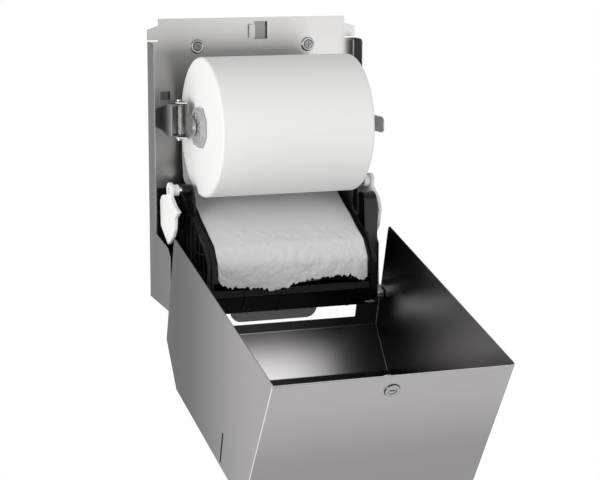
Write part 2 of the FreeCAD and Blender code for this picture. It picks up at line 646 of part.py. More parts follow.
right_wall, right_foot, right_holes = side_frame("RightFrame", module_right, right_high, right_high,
                                                 right_high + foot_width)
right_boss = rod("RightLatchBoss", "X", latch_spot, (right_high, right_high + 16), latch_boss)
right_latch_bore = rod("RightLatchBore", "X", latch_spot, (module_right - 1, right_high + 20),
                       size("latch_pin"))
node("right_frame", cut("RightFrameBody", joined("RightFrameBlank",
                                                 [right_wall, right_boss, right_foot]),
                        right_holes + [right_latch_bore]))

cover_line = [(-30, -51.5), (-150, -117, 17), (-164, -136, 20), (-164, -159)]
cover = sheet_plate("CoverSkin", "X", strip(cover_line, -size("cover_wall"), 0),
                    (module_left, module_right))
cover_back = box("CoverBack", (module_left, module_right), (-33, -30.6), (-110, -53))
node("module_cover", joined("ModuleCover", [cover, cover_back]))

beam_low = plate_low + 6
beam_high = beam_low + 56
beam_rim = 10
beam_outer = box("BeamOuter", (module_left, module_right), (-14, -8), (beam_low, beam_high))
beam_opening = (beam_low + beam_rim, beam_high - beam_rim)
beam_window = [box("BeamWindow%d" % k, (x - 16, x + 16), (-15, -7), beam_opening) for k,
               x in enumerate((-60, 0, 60))]
node("rear_beam", cut("RearBeam", beam_outer, beam_window))

feet_screws = []
foot_screw_sides = (left_low - foot_hole_in, right_high + foot_hole_in)
foot_screw_spots = [(x, z) for x in foot_screw_sides for z in foot_levels]
for k, spot in enumerate(foot_screw_spots):
    foot_face = front_face - foot_thick
    feet_screws.append(joined("FootScrew%d" % k, [
        rod("FootShank%d" % k, "Y", spot, (foot_face, front_face), foot_screw),
        rod("FootHead%d" % k, "Y", spot, (foot_face - 2.2, foot_face), 3.0, 3.8)]))
node("module_screws", several("ModuleScrews", feet_screws))

# ------------------------------------------------------------------ front bar and tear blade
blade_y = -129.8
bar_outline = [(-150, -167), (-161, -169, 3), (-163.5, -179, 3), (-140, -204.6, 3), (blade_y, -203),
               (blade_y, -194), (blade_y - 2, -194), (blade_y - 2, -200.4, 1), (-138, -201, 1),
               (-160.6, -178, 2),
               (-159, -171.4, 1), (-150, -169.6)]
bar = sheet_plate("BarChannel", "X", bar_outline, (module_left, module_right))
bar_rib_outline = [(-159, -171.6), (-163, -171.6), (-165.2, -179.5, 3), (-141, -205.4, 2),
                   (-138.4, -202.8)]
bar_rib_pitch = 48.6
bar_rib_starts = [module_left + 41.5 + k * bar_rib_pitch for k in range(4)]
bar_ribs = [sheet_plate("BarRib%d" % k, "X", bar_rib_outline, (x, x + 3.4))
            for k, x in enumerate(bar_rib_starts)]
blade_gauge = 0.8
roll_middle = (roll_left + roll_right) / 2
blade_rivet_reach = (module_right - module_left) / 2 - 16.5
blade_rivet_spots = [(roll_middle + side * blade_rivet_reach, -196.5) for side in (-1, 0, 1)]
blade_holes = [rod("BladeHole%d" % k, "Y", spot, (blade_y - 5, blade_y + 5), 1.2)
               for k, spot in enumerate(blade_rivet_spots)]
node("front_bar", cut("FrontBar", joined("FrontBarBlank", [bar] + bar_ribs), blade_holes))

blade_pitch = 3.5
blade_teeth = int(float(module_right - module_left - 4) / blade_pitch)
blade_left = float(module_left) + 2
blade_points = [(blade_left, -194.0)]
for k in range(blade_teeth):
    blade_points.append((blade_left + k * blade_pitch, -201.5))
    blade_points.append((blade_left + (k + 0.5) * blade_pitch, -204.6))
blade_points.append((blade_left + blade_teeth * blade_pitch, -201.5))
blade_points.append((blade_left + blade_teeth * blade_pitch, -194.0))
blade = sheet_plate("Blade", "Y", blade_points, (blade_y, blade_y + blade_gauge))
blade_cutters = [rod("BladeCutter%d" % k, "Y", spot, (blade_y - 5, blade_y + 5), 1.2)
                 for k, spot in enumerate(blade_rivet_spots)]
node("tear_blade", cut("TearBlade", blade, blade_cutters))
blade_rivets = [joined("BladeRivet%d" % k, [
    rod("BladeRivetShank%d" % k, "Y", spot, (blade_y - 2, blade_y + blade_gauge), 1.2),
    rod("BladeRivetHead%d" % k, "Y", spot, (blade_y + blade_gauge, blade_y + blade_gauge + 0.6), 2.2,
        1.5)])
    for k, spot in enumerate(blade_rivet_spots)]
node("blade_rivets", several("BladeRivets", blade_rivets))

# ------------------------------------------------------------------ feed and pinch rollers
feed_left = left_low - 2.0
feed_right = right_high + 9.5
node("feed_shaft", rod("FeedShaft", "X", feed_spot, (feed_left, feed_right), size("feed_shaft")))
sleeve_span = 40.0
sleeve_inset = 11.5
sleeve_starts = [roll_left + sleeve_inset, roll_middle - sleeve_span / 2,
                 roll_right - sleeve_inset - sleeve_span]


def sleeves(name, spot, outer, inner):
    pieces = []
    for k, low in enumerate(sleeve_starts):
        pieces.append(cut("%s%d" % (name, k), rod("%sOuter%d" % (name, k), "X", spot,
                                                  (low, low + sleeve_span), outer),
                          [rod("%sBore%d" % (name, k), "X", spot, (low - 1, low + sleeve_span + 1),
                               inner)]))
    return several(name + "Set", pieces)


node("feed_sleeves", sleeves("FeedSleeve", feed_spot, size("feed_roller"), size("feed_shaft")))
node("pinch_shaft", rod("PinchShaft", "X", pinch_spot, (left_low, right_high), size("pinch_shaft")))
node("pinch_sleeves", sleeves("PinchSleeve", pinch_spot, size("pinch_roller"), size("pinch_shaft")))
bushes = []
for k, (low, high) in enumerate(((left_low, module_left), (module_right, right_high))):
    bushes.append(cut("Bush%d" % k, rod("BushOuter%d" % k, "X", feed_spot, (low, high),
                                        size("feed_shaft") + size("run_gap") + bush_wall),
                      [rod("BushBore%d" % k, "X", feed_spot, (low - 1, high + 1),
                           size("feed_shaft") + size("run_gap"))]))
node("feed_bushes", several("FeedBushes", bushes))

# ------------------------------------------------------------------ gears, lever and paddle
centres = math.hypot(feed_spot[0] - lever_spot[0], feed_spot[1] - lever_spot[1])
mesh_angle = math.atan2(feed_spot[1] - lever_spot[1], feed_spot[0] - lever_spot[0])
pinion_teeth = int(size("pinion_teeth"))
sector_teeth = int(size("sector_teeth"))
gear_module = 2 * centres / (pinion_teeth + sector_teeth)
pressure = math.radians(20)


def tooth_flank(pitch_radius, tip_radius, root_radius, half_angle, steps=6):
    """Involute flank as (radius, angle from the tooth's centre line), from root to tip."""
    base = pitch_radius * math.cos(pressure)
    at_pitch = math.tan(pressure) - pressure
    flank = [(root_radius, half_angle + at_pitch)] if root_radius < base else []
    for k in range(steps + 1):
        radius = max(base, root_radius) + (tip_radius - max(base, root_radius)) * k / steps
        roll = math.acos(min(1.0, base / radius))
        flank.append((radius, half_angle + at_pitch - (math.tan(roll) - roll)))
    return flank


def gear_outline(spot, teeth, pitch_radius, first_angle, numbers):
    """Corners of the toothed edge, tooth by tooth counter-clockwise."""
    half_angle = math.pi / (2 * teeth) - float(size("backlash")) / 2 / pitch_radius
    tip = pitch_radius + 0.9 * gear_module
    root = pitch_radius - 1.2 * gear_module
    flank = tooth_flank(pitch_radius, tip, root, half_angle)
    corners = []
    for number in numbers:
        middle = first_angle + number * 2 * math.pi / teeth
        for radius, angle in flank:
            corners.append((spot[0] + radius * math.cos(middle - angle),
                            spot[1] + radius * math.sin(middle - angle)))
        for radius, angle in reversed(flank):
            corners.append((spot[0] + radius * math.cos(middle + angle),
                            spot[1] + radius * math.sin(middle + angle)))
    return corners


gear_low = right_high + 1.5
gear_high = gear_low + size("gear_width")
pinion_radius = gear_module * pinion_teeth / 2
sector_radius = gear_module * sector_teeth / 2
pinion_outline = gear_outline(feed_spot, pinion_teeth, pinion_radius,
                              mesh_angle + math.pi + math.pi / pinion_teeth, range(pinion_teeth))
pinion_disc = sheet_plate("PinionDisc", "X", pinion_outline, (gear_low, gear_high))
node("drive_pinion", cut("DrivePinion", pinion_disc,
                         [rod("PinionBore", "X", feed_spot, (gear_low - 1, gear_high + 1),
                              size("feed_shaft"))]))

sector_edge = gear_outline(lever_spot, sector_teeth, sector_radius, mesh_angle, range(-5, 1))
sector_hub = 9.0
sector_corners = [(lever_spot[0] + sector_hub * math.cos(mesh_angle - 1.6),
                   lever_spot[1] + sector_hub * math.sin(mesh_angle - 1.6))] + sector_edge
sector_corners.append((lever_spot[0] + sector_hub * math.cos(mesh_angle + 1.6),
                       lever_spot[1] + sector_hub * math.sin(mesh_angle + 1.6)))
sector_plate = sheet_plate("SectorPlate", "X", sector_corners, (gear_low, gear_high))
sector_boss = rod("SectorBoss", "X", lever_spot, (gear_low, gear_high + 1), sector_hub)
node("sector_gear", cut("SectorGear", joined("SectorBlank", [sector_plate, sector_boss]),
                        [rod("SectorBore", "X", lever_spot, (gear_low - 1, gear_high + 3),
                             size("lever_shaft"))]))
node("lever_shaft", rod("LeverShaft", "X", lever_spot, (left_low - 3, gear_high + 3),
                        size("lever_shaft")))

paddle_half = size("paddle_width") / 2
paddle_middle = roll_middle - 8.5
paddle_z = -size("paddle_low")
paddle_y = -112.0
arm_corners = [(lever_spot[0] - 7, lever_spot[1] - 5, 3), (lever_spot[0] + 7, lever_spot[1] - 5, 3),
               (paddle_y + 6, paddle_z + 30, 4), (paddle_y + size("paddle_thick"), paddle_z + 16, 2),
               (paddle_y + size("paddle_thick"), paddle_z + 12), (paddle_y + 0.5, paddle_z + 12),
               (paddle_y + 0.5, paddle_z + 30, 3)]
lever_tube = rod("LeverTube", "X", lever_spot,
                 (paddle_middle - paddle_half + 8, paddle_middle + paddle_half - 8),
                 size("lever_shaft") + 4)
lever_arm_places = [paddle_middle + side * (paddle_half - 14) for side in (-1, 0, 1)]
lever_arms = [sheet_plate("LeverArm%d" % k, "X", arm_corners, (x - 2, x + 2))
              for k, x in enumerate(lever_arm_places)]
lever_bore = rod("LeverTubeBore", "X", lever_spot,
                 (paddle_middle - paddle_half, paddle_middle + paddle_half), size("lever_shaft"))
node("lever_yoke", cut("LeverYoke", joined("LeverBlank", [lever_tube] + lever_arms), [lever_bore]))
paddle_outline = [(paddle_middle - paddle_half, paddle_z + 32, 3),
                  (paddle_middle - paddle_half + 4, paddle_z, 15),
                  (paddle_middle + paddle_half - 4, paddle_z, 15),
                  (paddle_middle + paddle_half, paddle_z + 32, 3)]
node("push_paddle", sheet_plate("PushPaddle", "Y", paddle_outline,
                                (paddle_y - size("paddle_thick") + 0.5, paddle_y + 0.5)))

lever_wire = 0.7
lever_coil = wire_coil("LeverSpring", Vector(), 5.25,
                       float(size("lever_shaft") + size("air_gap")) + lever_wire,
                       lever_wire, 1.9, Vector(0, -16, 0), Vector(-14, 0, 0))
lever_coil.Placement = Placement(Vector(float(module_left) + 22, float(lever_spot[0]),
                                        float(lever_spot[1])),
                                 Rotation(Vector(0, 1, 0), 90))
node("lever_spring", lever_coil)

# gear cover over the right-hand frame: a wide part with a rounded tower, and a low bulge over the pinion
cover_high = right_high + 17.5
bulge_wall = 1.2
bulge_high = feed_right + size("air_gap") + bulge_wall
inset = 2.0
cover_edge = [(-138, -126, 6), (-134, -58, 11), (-110, -58, 11), (-108, -101, 8), (-84, -109, 8),
              (-68, -140, 8), (-68, -196, 4), (-100, -196, 4), (-126, -202, 5), (-140, -196, 5),
              (-140, -140, 6)]
cover_inner_edge = [(-136, -127, 4), (-132, -60, 9), (-112, -60, 9), (-110, -103, 6), (-85.5, -111, 8),
                    (-70, -141, 8), (-70, -194, 3), (-100, -194, 3), (-126, -199.8, 3), (-138, -194, 3),
                    (-138, -140, 5)]
bulge_edge = [(-136, -130, 4), (-126, -130), (-126, -202), (-140, -198, 5), (-155, -184, 8),
              (-155, -142, 10)]
bulge_inner_edge = [(-135.5, -131.5, 3), (-124, -131.5), (-124, -199.6), (-139.5, -196.4, 4),
                    (-153.8, -183.5, 7), (-153.8, -142.5, 9)]
cover_blank = joined("GearCoverBlank", [
    sheet_plate("GearCoverOuter", "X", cover_edge, (right_high, cover_high)),
    sheet_plate("GearBulgeOuter", "X", bulge_edge, (right_high, bulge_high))])
gear_cover = cut("GearCover", cover_blank, [
    sheet_plate("GearCoverInner", "X", cover_inner_edge, (right_high - 1, cover_high - inset)),
    sheet_plate("GearBulgeInner", "X", bulge_inner_edge, (right_high - 1, bulge_high - bulge_wall))])
node("gear_cover", gear_cover)

# ------------------------------------------------------------------ side latches
left_outline = [(-68, -57, 3), (-44, -61, 5), (-36, -68, 4), (-38, -102, 6), (-70, -122.5, 4),
                (-91, -109, 5), (-99, -99, 5), (-101, -84, 3), (-117, -73.5, 1), (-100, -68, 4),
                (-84, -58, 3)]
right_outline = [(-68, -57, 3), (-44, -61, 5), (-36, -68, 4), (-38, -102, 6), (-70, -124, 4),
                 (-95, -119, 5), (-106, -107, 6), (-112, -84, 5), (-106, -71, 4), (-84, -57, 4)]


def latch(name, outline, low, high, boss_low, boss_high):
    plate_body = sheet_plate(name + "Plate", "X", outline, (low, high))
    ring = rod(name + "Ring", "X", latch_spot, (low, high), size("latch_ring"))
    boss = rod(name + "Boss", "X", latch_spot, (boss_low, boss_high), size("latch_ring") - 3)
    bore = rod(name + "Bore", "X", latch_spot, (min(low, boss_low) - 1, max(high, boss_high) + 1),
               size("latch_pin") + size("run_gap"))
    return cut(name + "Body", joined(name + "Blank", [plate_body, ring, boss]), [bore])


latch_out = half_width - size("latch_inset")
latch_in = latch_out - size("latch_thick")
boss_end = latch_in - size("latch_boss")
node("left_latch", latch("LeftLatch", left_outline, -latch_out, -latch_in, -latch_in, -boss_end))
node("right_latch", latch("RightLatch", right_outline, latch_in, latch_out, boss_end, latch_in))
latch_pins = [
    rod("LatchPin0", "X", latch_spot, (-latch_out - 0.6, module_left), size("latch_pin")),
    rod("LatchPin1", "X", latch_spot, (module_right, latch_out + 0.6), size("latch_pin")),
]
node("latch_pins", several("LatchPins", latch_pins))

# ------------------------------------------------------------------ door, drawn shut and then swung open
door_gauge = size("door_gauge")
door_inner = half_width + size("door_gap")
door_outer = door_inner + door_gauge
door_back = -4.0
door_front = -size("door_depth")
door_low = -213.0
roof_fall = 54.0
door_outline = [
    (door_back, door_low, 6), (-150, -213), (-193, -158), (door_front, size("door_top") - roof_fall),
    (door_back, size("door_top"), 3),
]


def offset_inward(corners, distance):
    """Corners moved inwards by a distance from every edge but the first corner's open back edge."""
    count = len(corners)
    lines = []
    for i in range(count):
        a = Vector(float(corners[i][0]), float(corners[i][1]), 0)
        b = Vector(float(corners[(i + 1) % count][0]), float(corners[(i + 1) % count][1]), 0)
        run = (b - a).normalize()
        inward = Vector(run.y, -run.x, 0)
        shift = 0.0 if i == count - 1 else float(distance)
        lines.append((a + inward * shift, run))
    moved = []
    for i in range(count):
        (p, d), (q, e) = lines[i - 1], lines[i]
        across = d.x * e.y - d.y * e.x
        along = ((q.x - p.x) * e.y - (q.y - p.y) * e.x) / across
        moved.append((p + d * along))
    return [(v.x, v.y) for v in moved]


shell_outer = sheet_plate("DoorOuter", "X", door_outline, (-door_outer, door_outer))
cavity = offset_inward(door_outline, door_gauge)
cavity = [(cavity[0][0] + 5, cavity[0][1])] + cavity[1:-1] + [(cavity[-1][0] + 5,
                                                               cavity[-1][1] + 5 * roof_fall / 190)]
shell_inner = sheet_plate("DoorInner", "X", cavity, (-door_inner, door_inner))
bottom_open = box("BottomOpen", (-door_inner, door_inner), (hinge_y - 1, 5), (-216, -206))
mouth = box("Mouth", (-size("mouth_half"), size("mouth_half")), (-size("mouth_front"), hinge_y),
            (-216, -206))
slot_half = size("level_slot") / 2
slot_far = -size("level_slot_out") - size("level_slot_long")
level_slots = [box("LevelSlot%d" % k, (low, low + 10), (slot_far, -size("level_slot_out")),
                   (size("level_slot_up") - slot_half, size("level_slot_up") + slot_half))
               for k, low in enumerate((-door_outer - 4, door_outer - 6))]

roof_angle = math.atan2(roof_fall, -float(door_front) + door_back)
lock_y = door_back - float(size("lock_back"))
lock_z = float(size("door_top")) - float(size("lock_back")) * math.tan(roof_angle)
roof_turn = Rotation(Vector(1, 0, 0), math.degrees(roof_angle))


def on_roof(item):
    """Move a piece drawn round a vertical lock axis, its top at height 0, onto the sloping roof."""
    item.Placement = Placement(Vector(0, lock_y, lock_z), roof_turn) * item.Placement
    return item


def roof_rod(name, low, high, radius, tip_radius=None):
    kind = "Part::Cylinder" if tip_radius is None else "Part::Cone"
    item = doc.addObject(kind, name)
    if tip_radius is None:
        bind(item, "Radius", radius)
    else:
        bind(item, "Radius1", radius)
        bind(item, "Radius2", tip_radius)
    bind(item, "Height", high - low)
    item.Placement = Placement(Vector(0, 0, float(low)), Rotation())
    return on_roof(item)


def roof_box(name, x, y, z):
    item = doc.addObject("Part::Box", name)
    for prop, (low, high) in zip(("Length", "Width", "Height"), (x, y, z)):
        bind(item, prop, high - low)
    item.Placement = Placement(Vector(float(x[0]), float(y[0]), float(z[0])), Rotation())
    return on_roof(item)


def roof_plate(name, corners, span):
    item = sheet_plate(name, "Z", corners, span)
    for axis_name in "xyz":
        item.setExpression("Placement.Base." + axis_name, None)
    item.Placement = Placement(Vector(0, 0, float(span[0])), Rotation())
    return on_roof(item)


def swung_open(item):
    """Turn a finished piece of the door about the hinge from shut to open."""
    centre = Vector(0, float(hinge_y), float(hinge_z))
    item.Placement = Placement(Vector(), Rotation(Vector(1, 0, 0), float(size("door_open"))),
                               centre).multiply(
        item.Placement)
    return item


lock_hole = roof_rod("LockHole", -6, 4, size("lock_body"))
lug_inner = half_width - 12.5
lug_wall = 2.0
lug_radius = 6.0
lug_low = door_low + 0.5
lug_outline = [(hinge_y + lug_radius, hinge_z + lug_radius, lug_radius - 0.1),
               (hinge_y - lug_radius, hinge_z + lug_radius, lug_radius - 0.1), (-118, lug_low),
               (-104.2, lug_low), (hinge_y + lug_radius, hinge_z - 2, 2)]
lugs = []
for k, (low, high) in enumerate(((-lug_inner - lug_wall, -lug_inner), (lug_inner, lug_inner + lug_wall))):
    lug = sheet_plate("DoorLug%d" % k, "X", lug_outline, (low, high))
    lug_bore = rod("DoorLugBore%d" % k, "X", (hinge_y, hinge_z), (low - 1, high + 1),
                   size("hinge_pin") + size("run_gap"))
    lugs.append(cut("DoorLugBored%d" % k, lug, [lug_bore]))
door_cut = cut("DoorCut", shell_outer, [shell_inner, bottom_open, mouth, lock_hole] + level_slots)
door = joined("Door", [door_cut] + lugs)
node("door", swung_open(door))

lock_long = size("lock_long")
face_proud = 1.6
lock_barrel = joined("LockBarrel", [roof_rod("LockFace", 0.0, face_proud, size("lock_face"),
                                             size("lock_face") - 0.8),
                                    roof_rod("LockTube", -lock_long, 0.5, size("lock_body"))])
lock_body = cut("LockBody", lock_barrel, [roof_rod("LockBodyBore", -lock_long - 1, 6,
                                                   size("lock_plug") + size("run_gap"))])
node("lock_body", swung_open(lock_body))
plug_piece = joined("PlugPiece", [roof_rod("PlugBarrel", -lock_long - 0.4, 1.0, size("lock_plug")),
                                  roof_box("PlugTang", (-2.6, 2.6), (-2.6, 2.6),
                                           (-lock_long - 2.4, -lock_long))])
keyway = roof_box("Keyway", (-3.4, 3.4), (-0.8, 0.8), (-9.0, 3.0))
node("lock_plug", swung_open(cut("LockPlug", plug_piece, [keyway])))
nut_corners = [(12.5 * math.cos(math.radians(60 * k)),
                12.5 * math.sin(math.radians(60 * k))) for k in range(6)]
nut_hole = roof_rod("NutBore", -8, 0, size("lock_body"))
node("lock_nut", swung_open(cut("LockNut", roof_plate("NutBlank", nut_corners, (-5.5, -1.0)),
                                [nut_hole])))
# unlocked, the cam's hook points along +X; a quarter turn carries it through the catch window
hook_reach = 26.3
cam_corners = [(-6, 6, 3), (-6, -6, 3), (4, -14, 3), (hook_reach, -14, 2), (hook_reach, -4.5, 2),
               (9, -4.5), (4, 6, 3)]
cam_plate = roof_plate("CamPlate", cam_corners, (-lock_long - 2.4, -lock_long - 0.4))
cam_slot = roof_box("CamSlot", (-2.6, 2.6), (-2.6, 2.6), (-lock_long - 4, -lock_long + 1))
node("lock_cam", swung_open(cut("LockCam", cam_plate, [cam_slot])))
node("cam_screw", swung_open(roof_rod("CamScrew", -lock_long - 4.2, -lock_long - 2.4, 3.0, 4.0)))

# hinge pins in the cabinet's flanges and in a small bent bracket at each side
bracket_leg = half_width - 19.5


def on_side(side, near, far):
    """The span along X between two distances from the middle, on the left (-1) or the right (+1)."""
    return (near, far) if side > 0 else (-far, -near)


lip_low = hinge_z - 6
hinge_pins = []
hinge_brackets = []
for k, side in enumerate((-1, 1)):
    hinge_pins.append(joined("HingePinBody%d" % k, [
        rod("HingePin%d" % k, "X", (hinge_y, hinge_z), on_side(side, bracket_leg - 1.6, half_width),
            size("hinge_pin")),
        rod("HingePinHead%d" % k, "X", (hinge_y, hinge_z),
            on_side(side, bracket_leg - 3.0, bracket_leg - 0.01), 4.0)]))
    leg = sheet_plate("HingeLeg%d" % k, "X", [(hinge_y + 7, -188), (hinge_y - 5, -188, 2),
                                              (hinge_y - 5, lip_low), (hinge_y + 5, lip_low)],
                      on_side(side, bracket_leg, bracket_leg + 1.5))
    lip = box("HingeLip%d" % k, on_side(side, bracket_leg - 5, bracket_leg + 6),
              (hinge_y - 5.5, hinge_y + 5.5), (lip_low, lip_low + 1.5))
    web = box("HingeWeb%d" % k, on_side(side, bracket_leg, half_width - gauge),
              (hinge_y - 5, hinge_y + 18), (-189.5, -188))
    foot = box("HingeFoot%d" % k, on_side(side, half_width - gauge - 1.5, half_width - gauge),
               (hinge_y + 11, hinge_y + 24),
               (-188, -170))
    bore = rod("HingeLegBore%d" % k, "X", (hinge_y, hinge_z),
               on_side(side, bracket_leg - 2, bracket_leg + 4), size("hinge_pin"))
    web_wide = box("HingeWebRear%d" % k, on_side(side, half_width - gauge - 12, half_width - gauge),
                   (hinge_y + 5, hinge_y + 24),
                   (-189.5, -188))
    hinge_brackets.append(cut("HingeBracket%d" % k,
                              joined("HingeBracketBlank%d" % k, [leg, lip, web, foot, web_wide]),
                              [bore]))
node("hinge_pins", several("HingePins", hinge_pins))
node("hinge_brackets", several("HingeBrackets", hinge_brackets))

# ------------------------------------------------------------------ towel tail over the cover
slope = (cover_line[0][1] - cover_line[1][1]) / (cover_line[0][0] - cover_line[1][0])
rear_bend_y = -19.0
rear_bend_z = cover_line[0][1] + slope * (rear_bend_y - cover_line[0][0])
tail_line = [(-14.6, 0), (rear_bend_y, rear_bend_z, 14)] + cover_line[1:3] + [(cover_line[3][0], -166)]
tail_near = float(size("air_gap"))
node("towel_tail", sheet_plate("TowelTail", "X",
                               strip(tail_line, tail_near, tail_near + float(size("sheet_thick"))),
                               (roll_left + 0.5, roll_right - 0.5)))

doc.recompute()

# ------------------------------------------------------------------ check and write
faults = [item.Name for item in doc.Objects if "Invalid" in item.State or "Error" in item.State]
for item in nodes:
    if item.Shape.isNull() or not item.Shape.isValid() or not item.Shape.Solids:
        faults.append(item.Label)
if faults:
    raise RuntimeError("these objects failed: " + ", ".join(faults))
os.makedirs("parts", exist_ok=True)
for item in nodes:
    item.Shape.exportStep("parts/%s.step" % item.Label)
    bounds = item.Shape.BoundBox
    print("%-16s %2d solids %9.0f mm3  x %7.1f %7.1f  y %7.1f %7.1f  z %7.1f %7.1f" % (
        item.Label, len(item.Shape.Solids), item.Shape.Volume, bounds.XMin, bounds.XMax, bounds.YMin,
                                                                                       bounds.YMax,
        bounds.ZMin, bounds.ZMax))
print(len(nodes), "nodes written")
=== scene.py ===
import json
import math
import random

import bmesh
import bpy
from mathutils import Matrix, Vector, noise

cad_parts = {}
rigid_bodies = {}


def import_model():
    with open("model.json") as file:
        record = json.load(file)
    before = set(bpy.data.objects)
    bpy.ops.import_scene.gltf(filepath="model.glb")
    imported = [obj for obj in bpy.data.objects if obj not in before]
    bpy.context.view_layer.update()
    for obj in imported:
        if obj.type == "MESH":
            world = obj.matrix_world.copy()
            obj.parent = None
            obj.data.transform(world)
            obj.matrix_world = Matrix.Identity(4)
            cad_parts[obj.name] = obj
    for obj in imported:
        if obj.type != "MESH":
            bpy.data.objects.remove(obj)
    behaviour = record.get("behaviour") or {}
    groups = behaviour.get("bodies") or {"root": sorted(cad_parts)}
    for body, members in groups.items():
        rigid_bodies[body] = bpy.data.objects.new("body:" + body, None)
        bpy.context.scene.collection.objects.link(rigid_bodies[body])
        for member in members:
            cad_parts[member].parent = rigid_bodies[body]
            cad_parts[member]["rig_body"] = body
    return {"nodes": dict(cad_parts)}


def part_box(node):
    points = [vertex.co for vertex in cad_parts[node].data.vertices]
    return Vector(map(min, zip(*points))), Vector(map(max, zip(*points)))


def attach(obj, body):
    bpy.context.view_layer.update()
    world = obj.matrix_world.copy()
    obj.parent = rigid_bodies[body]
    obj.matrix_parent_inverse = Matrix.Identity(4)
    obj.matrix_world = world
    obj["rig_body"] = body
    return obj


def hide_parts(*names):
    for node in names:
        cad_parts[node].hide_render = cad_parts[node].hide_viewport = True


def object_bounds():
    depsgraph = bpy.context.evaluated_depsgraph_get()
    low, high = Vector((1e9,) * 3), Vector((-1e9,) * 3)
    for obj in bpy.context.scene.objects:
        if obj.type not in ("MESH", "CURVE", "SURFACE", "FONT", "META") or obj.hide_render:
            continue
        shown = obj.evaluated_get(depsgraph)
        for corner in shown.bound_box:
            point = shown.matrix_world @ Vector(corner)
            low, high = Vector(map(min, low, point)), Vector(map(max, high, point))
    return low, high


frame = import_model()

cad_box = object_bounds()

# ------------------------------------------------------------------ cabinet
# Back plate, side flanges and bottom lip, folded from one stainless sheet and satin brushed on its
# face. The folds are round outside, and the cut edges are only broken. It hangs on the wall screws.
sheet_gauge = 0.0012
sheet_fold = 0.0012
broken_edge = 0.00015
# faces narrower than this are the cut edges of the sheet
cut_edge_width = 1.4 * sheet_gauge
shortest_fold = 3 * sheet_fold
weld_distance = 0.000005
# edges sharper than this many degrees are rounded, and after the folds only the sharper ones
corner_angle = 25
corner_angle_after_folds = 40
# scratches to a metre along the grain and across it
grain_along = 6
grain_across = 900
# how squarely a face has to look one way to count, as the cosine of the angle
roughly_facing = 0.7
squarely_facing = 0.97


class Finish:
    """A material with these settings on its shader, and short ways to build its nodes."""

    def __init__(self, name, settings):
        self.material = bpy.data.materials.new(name)
        self.material.use_nodes = True
        self.tree = self.material.node_tree
        self.shader = self.tree.nodes["Principled BSDF"]
        self.link = self.tree.links.new
        for socket, value in settings.items():
            self.shader.inputs[socket].default_value = value

    def add(self, kind, inputs=(), **options):
        """A new node with these options and inputs."""
        made = self.tree.nodes.new(kind)
        for option, value in options.items():
            setattr(made, option, value)
        for socket, value in dict(inputs).items():
            made.inputs[socket].default_value = value
        return made

    def drive(self, socket, source):
        """Let the shader's socket follow the source."""
        self.link(source, self.shader.inputs[socket])

    def pattern(self, spot, inputs):
        """Noise at each spot, between 0 and 1."""
        texture = self.add("ShaderNodeTexNoise", inputs)
        self.link(spot, texture.inputs["Vector"])
        return texture.outputs["Fac"]

    def spread(self, pattern, low, high):
        """A pattern stretched to run from low to high."""
        stretched = self.add("ShaderNodeMapRange", {"To Min": low, "To Max": high})
        self.link(pattern, stretched.inputs["Value"])
        return stretched.outputs["Result"]

    def ramp(self, spot, axis, start, end, first, last):
        """A share that goes over softly from first to last between two places along an axis."""
        split = self.add("ShaderNodeSeparateXYZ")
        soft = self.add("ShaderNodeMapRange", {"From Min": start, "From Max": end, "To Min": first,
                                               "To Max": last}, interpolation_type="SMOOTHSTEP")
        self.link(spot, split.inputs["Vector"])
        self.link(split.outputs[axis], soft.inputs["Value"])
        return soft.outputs["Result"]

    def faces(self, normal, facing, ways, least):
        """1 where a face looks that way, or with 2 ways also the opposite way, and 0 elsewhere."""
        toward = self.add("ShaderNodeVectorMath", {1: facing}, operation="DOT_PRODUCT")
        enough = self.add("ShaderNodeMath", {1: least}, operation="GREATER_THAN")
        self.link(normal, toward.inputs[0])
        share = toward.outputs["Value"]
        if ways == 2:
            either = self.add("ShaderNodeMath", operation="ABSOLUTE")
            self.link(share, either.inputs[0])
            share = either.outputs[0]
        self.link(share, enough.inputs[0])
        return enough.outputs[0]

    def tint(self, pattern, tone, darkest):
        """The tone, or its darkest share where the pattern is low."""
        mixed = self.add("ShaderNodeMix", {"A": (*(darkest * part for part in tone), 1), "B": (*tone, 1)},
                         data_type="RGBA")
        self.link(pattern, mixed.inputs["Factor"])
        return mixed.outputs["Result"]

    def raise_by(self, pattern, strength, distance):
        """Small bumps where the pattern is high."""
        bump = self.add("ShaderNodeBump", {"Strength": strength, "Distance": distance})
        self.link(pattern, bump.inputs["Height"])
        self.drive("Normal", bump.outputs["Normal"])


def painted_shading_share(finish, place, painted_shading_ramps):
    """How much of the tone each spot shows under the painted light and shade: the first ramp's, or that of
    the last one it faces.
    """
    share = None
    for facing, ways, *course in painted_shading_ramps:
        ramp = finish.ramp(place.outputs["Object"], *course)
        if share is None:
            share = ramp
            continue
        mixed = finish.add("ShaderNodeMix")
        faced = finish.faces(place.outputs["Normal"], facing, ways, squarely_facing)
        finish.link(faced, mixed.inputs["Factor"])
        finish.link(share, mixed.inputs["A"])
        finish.link(ramp, mixed.inputs["B"])
        share = mixed.outputs["Result"]
    return share


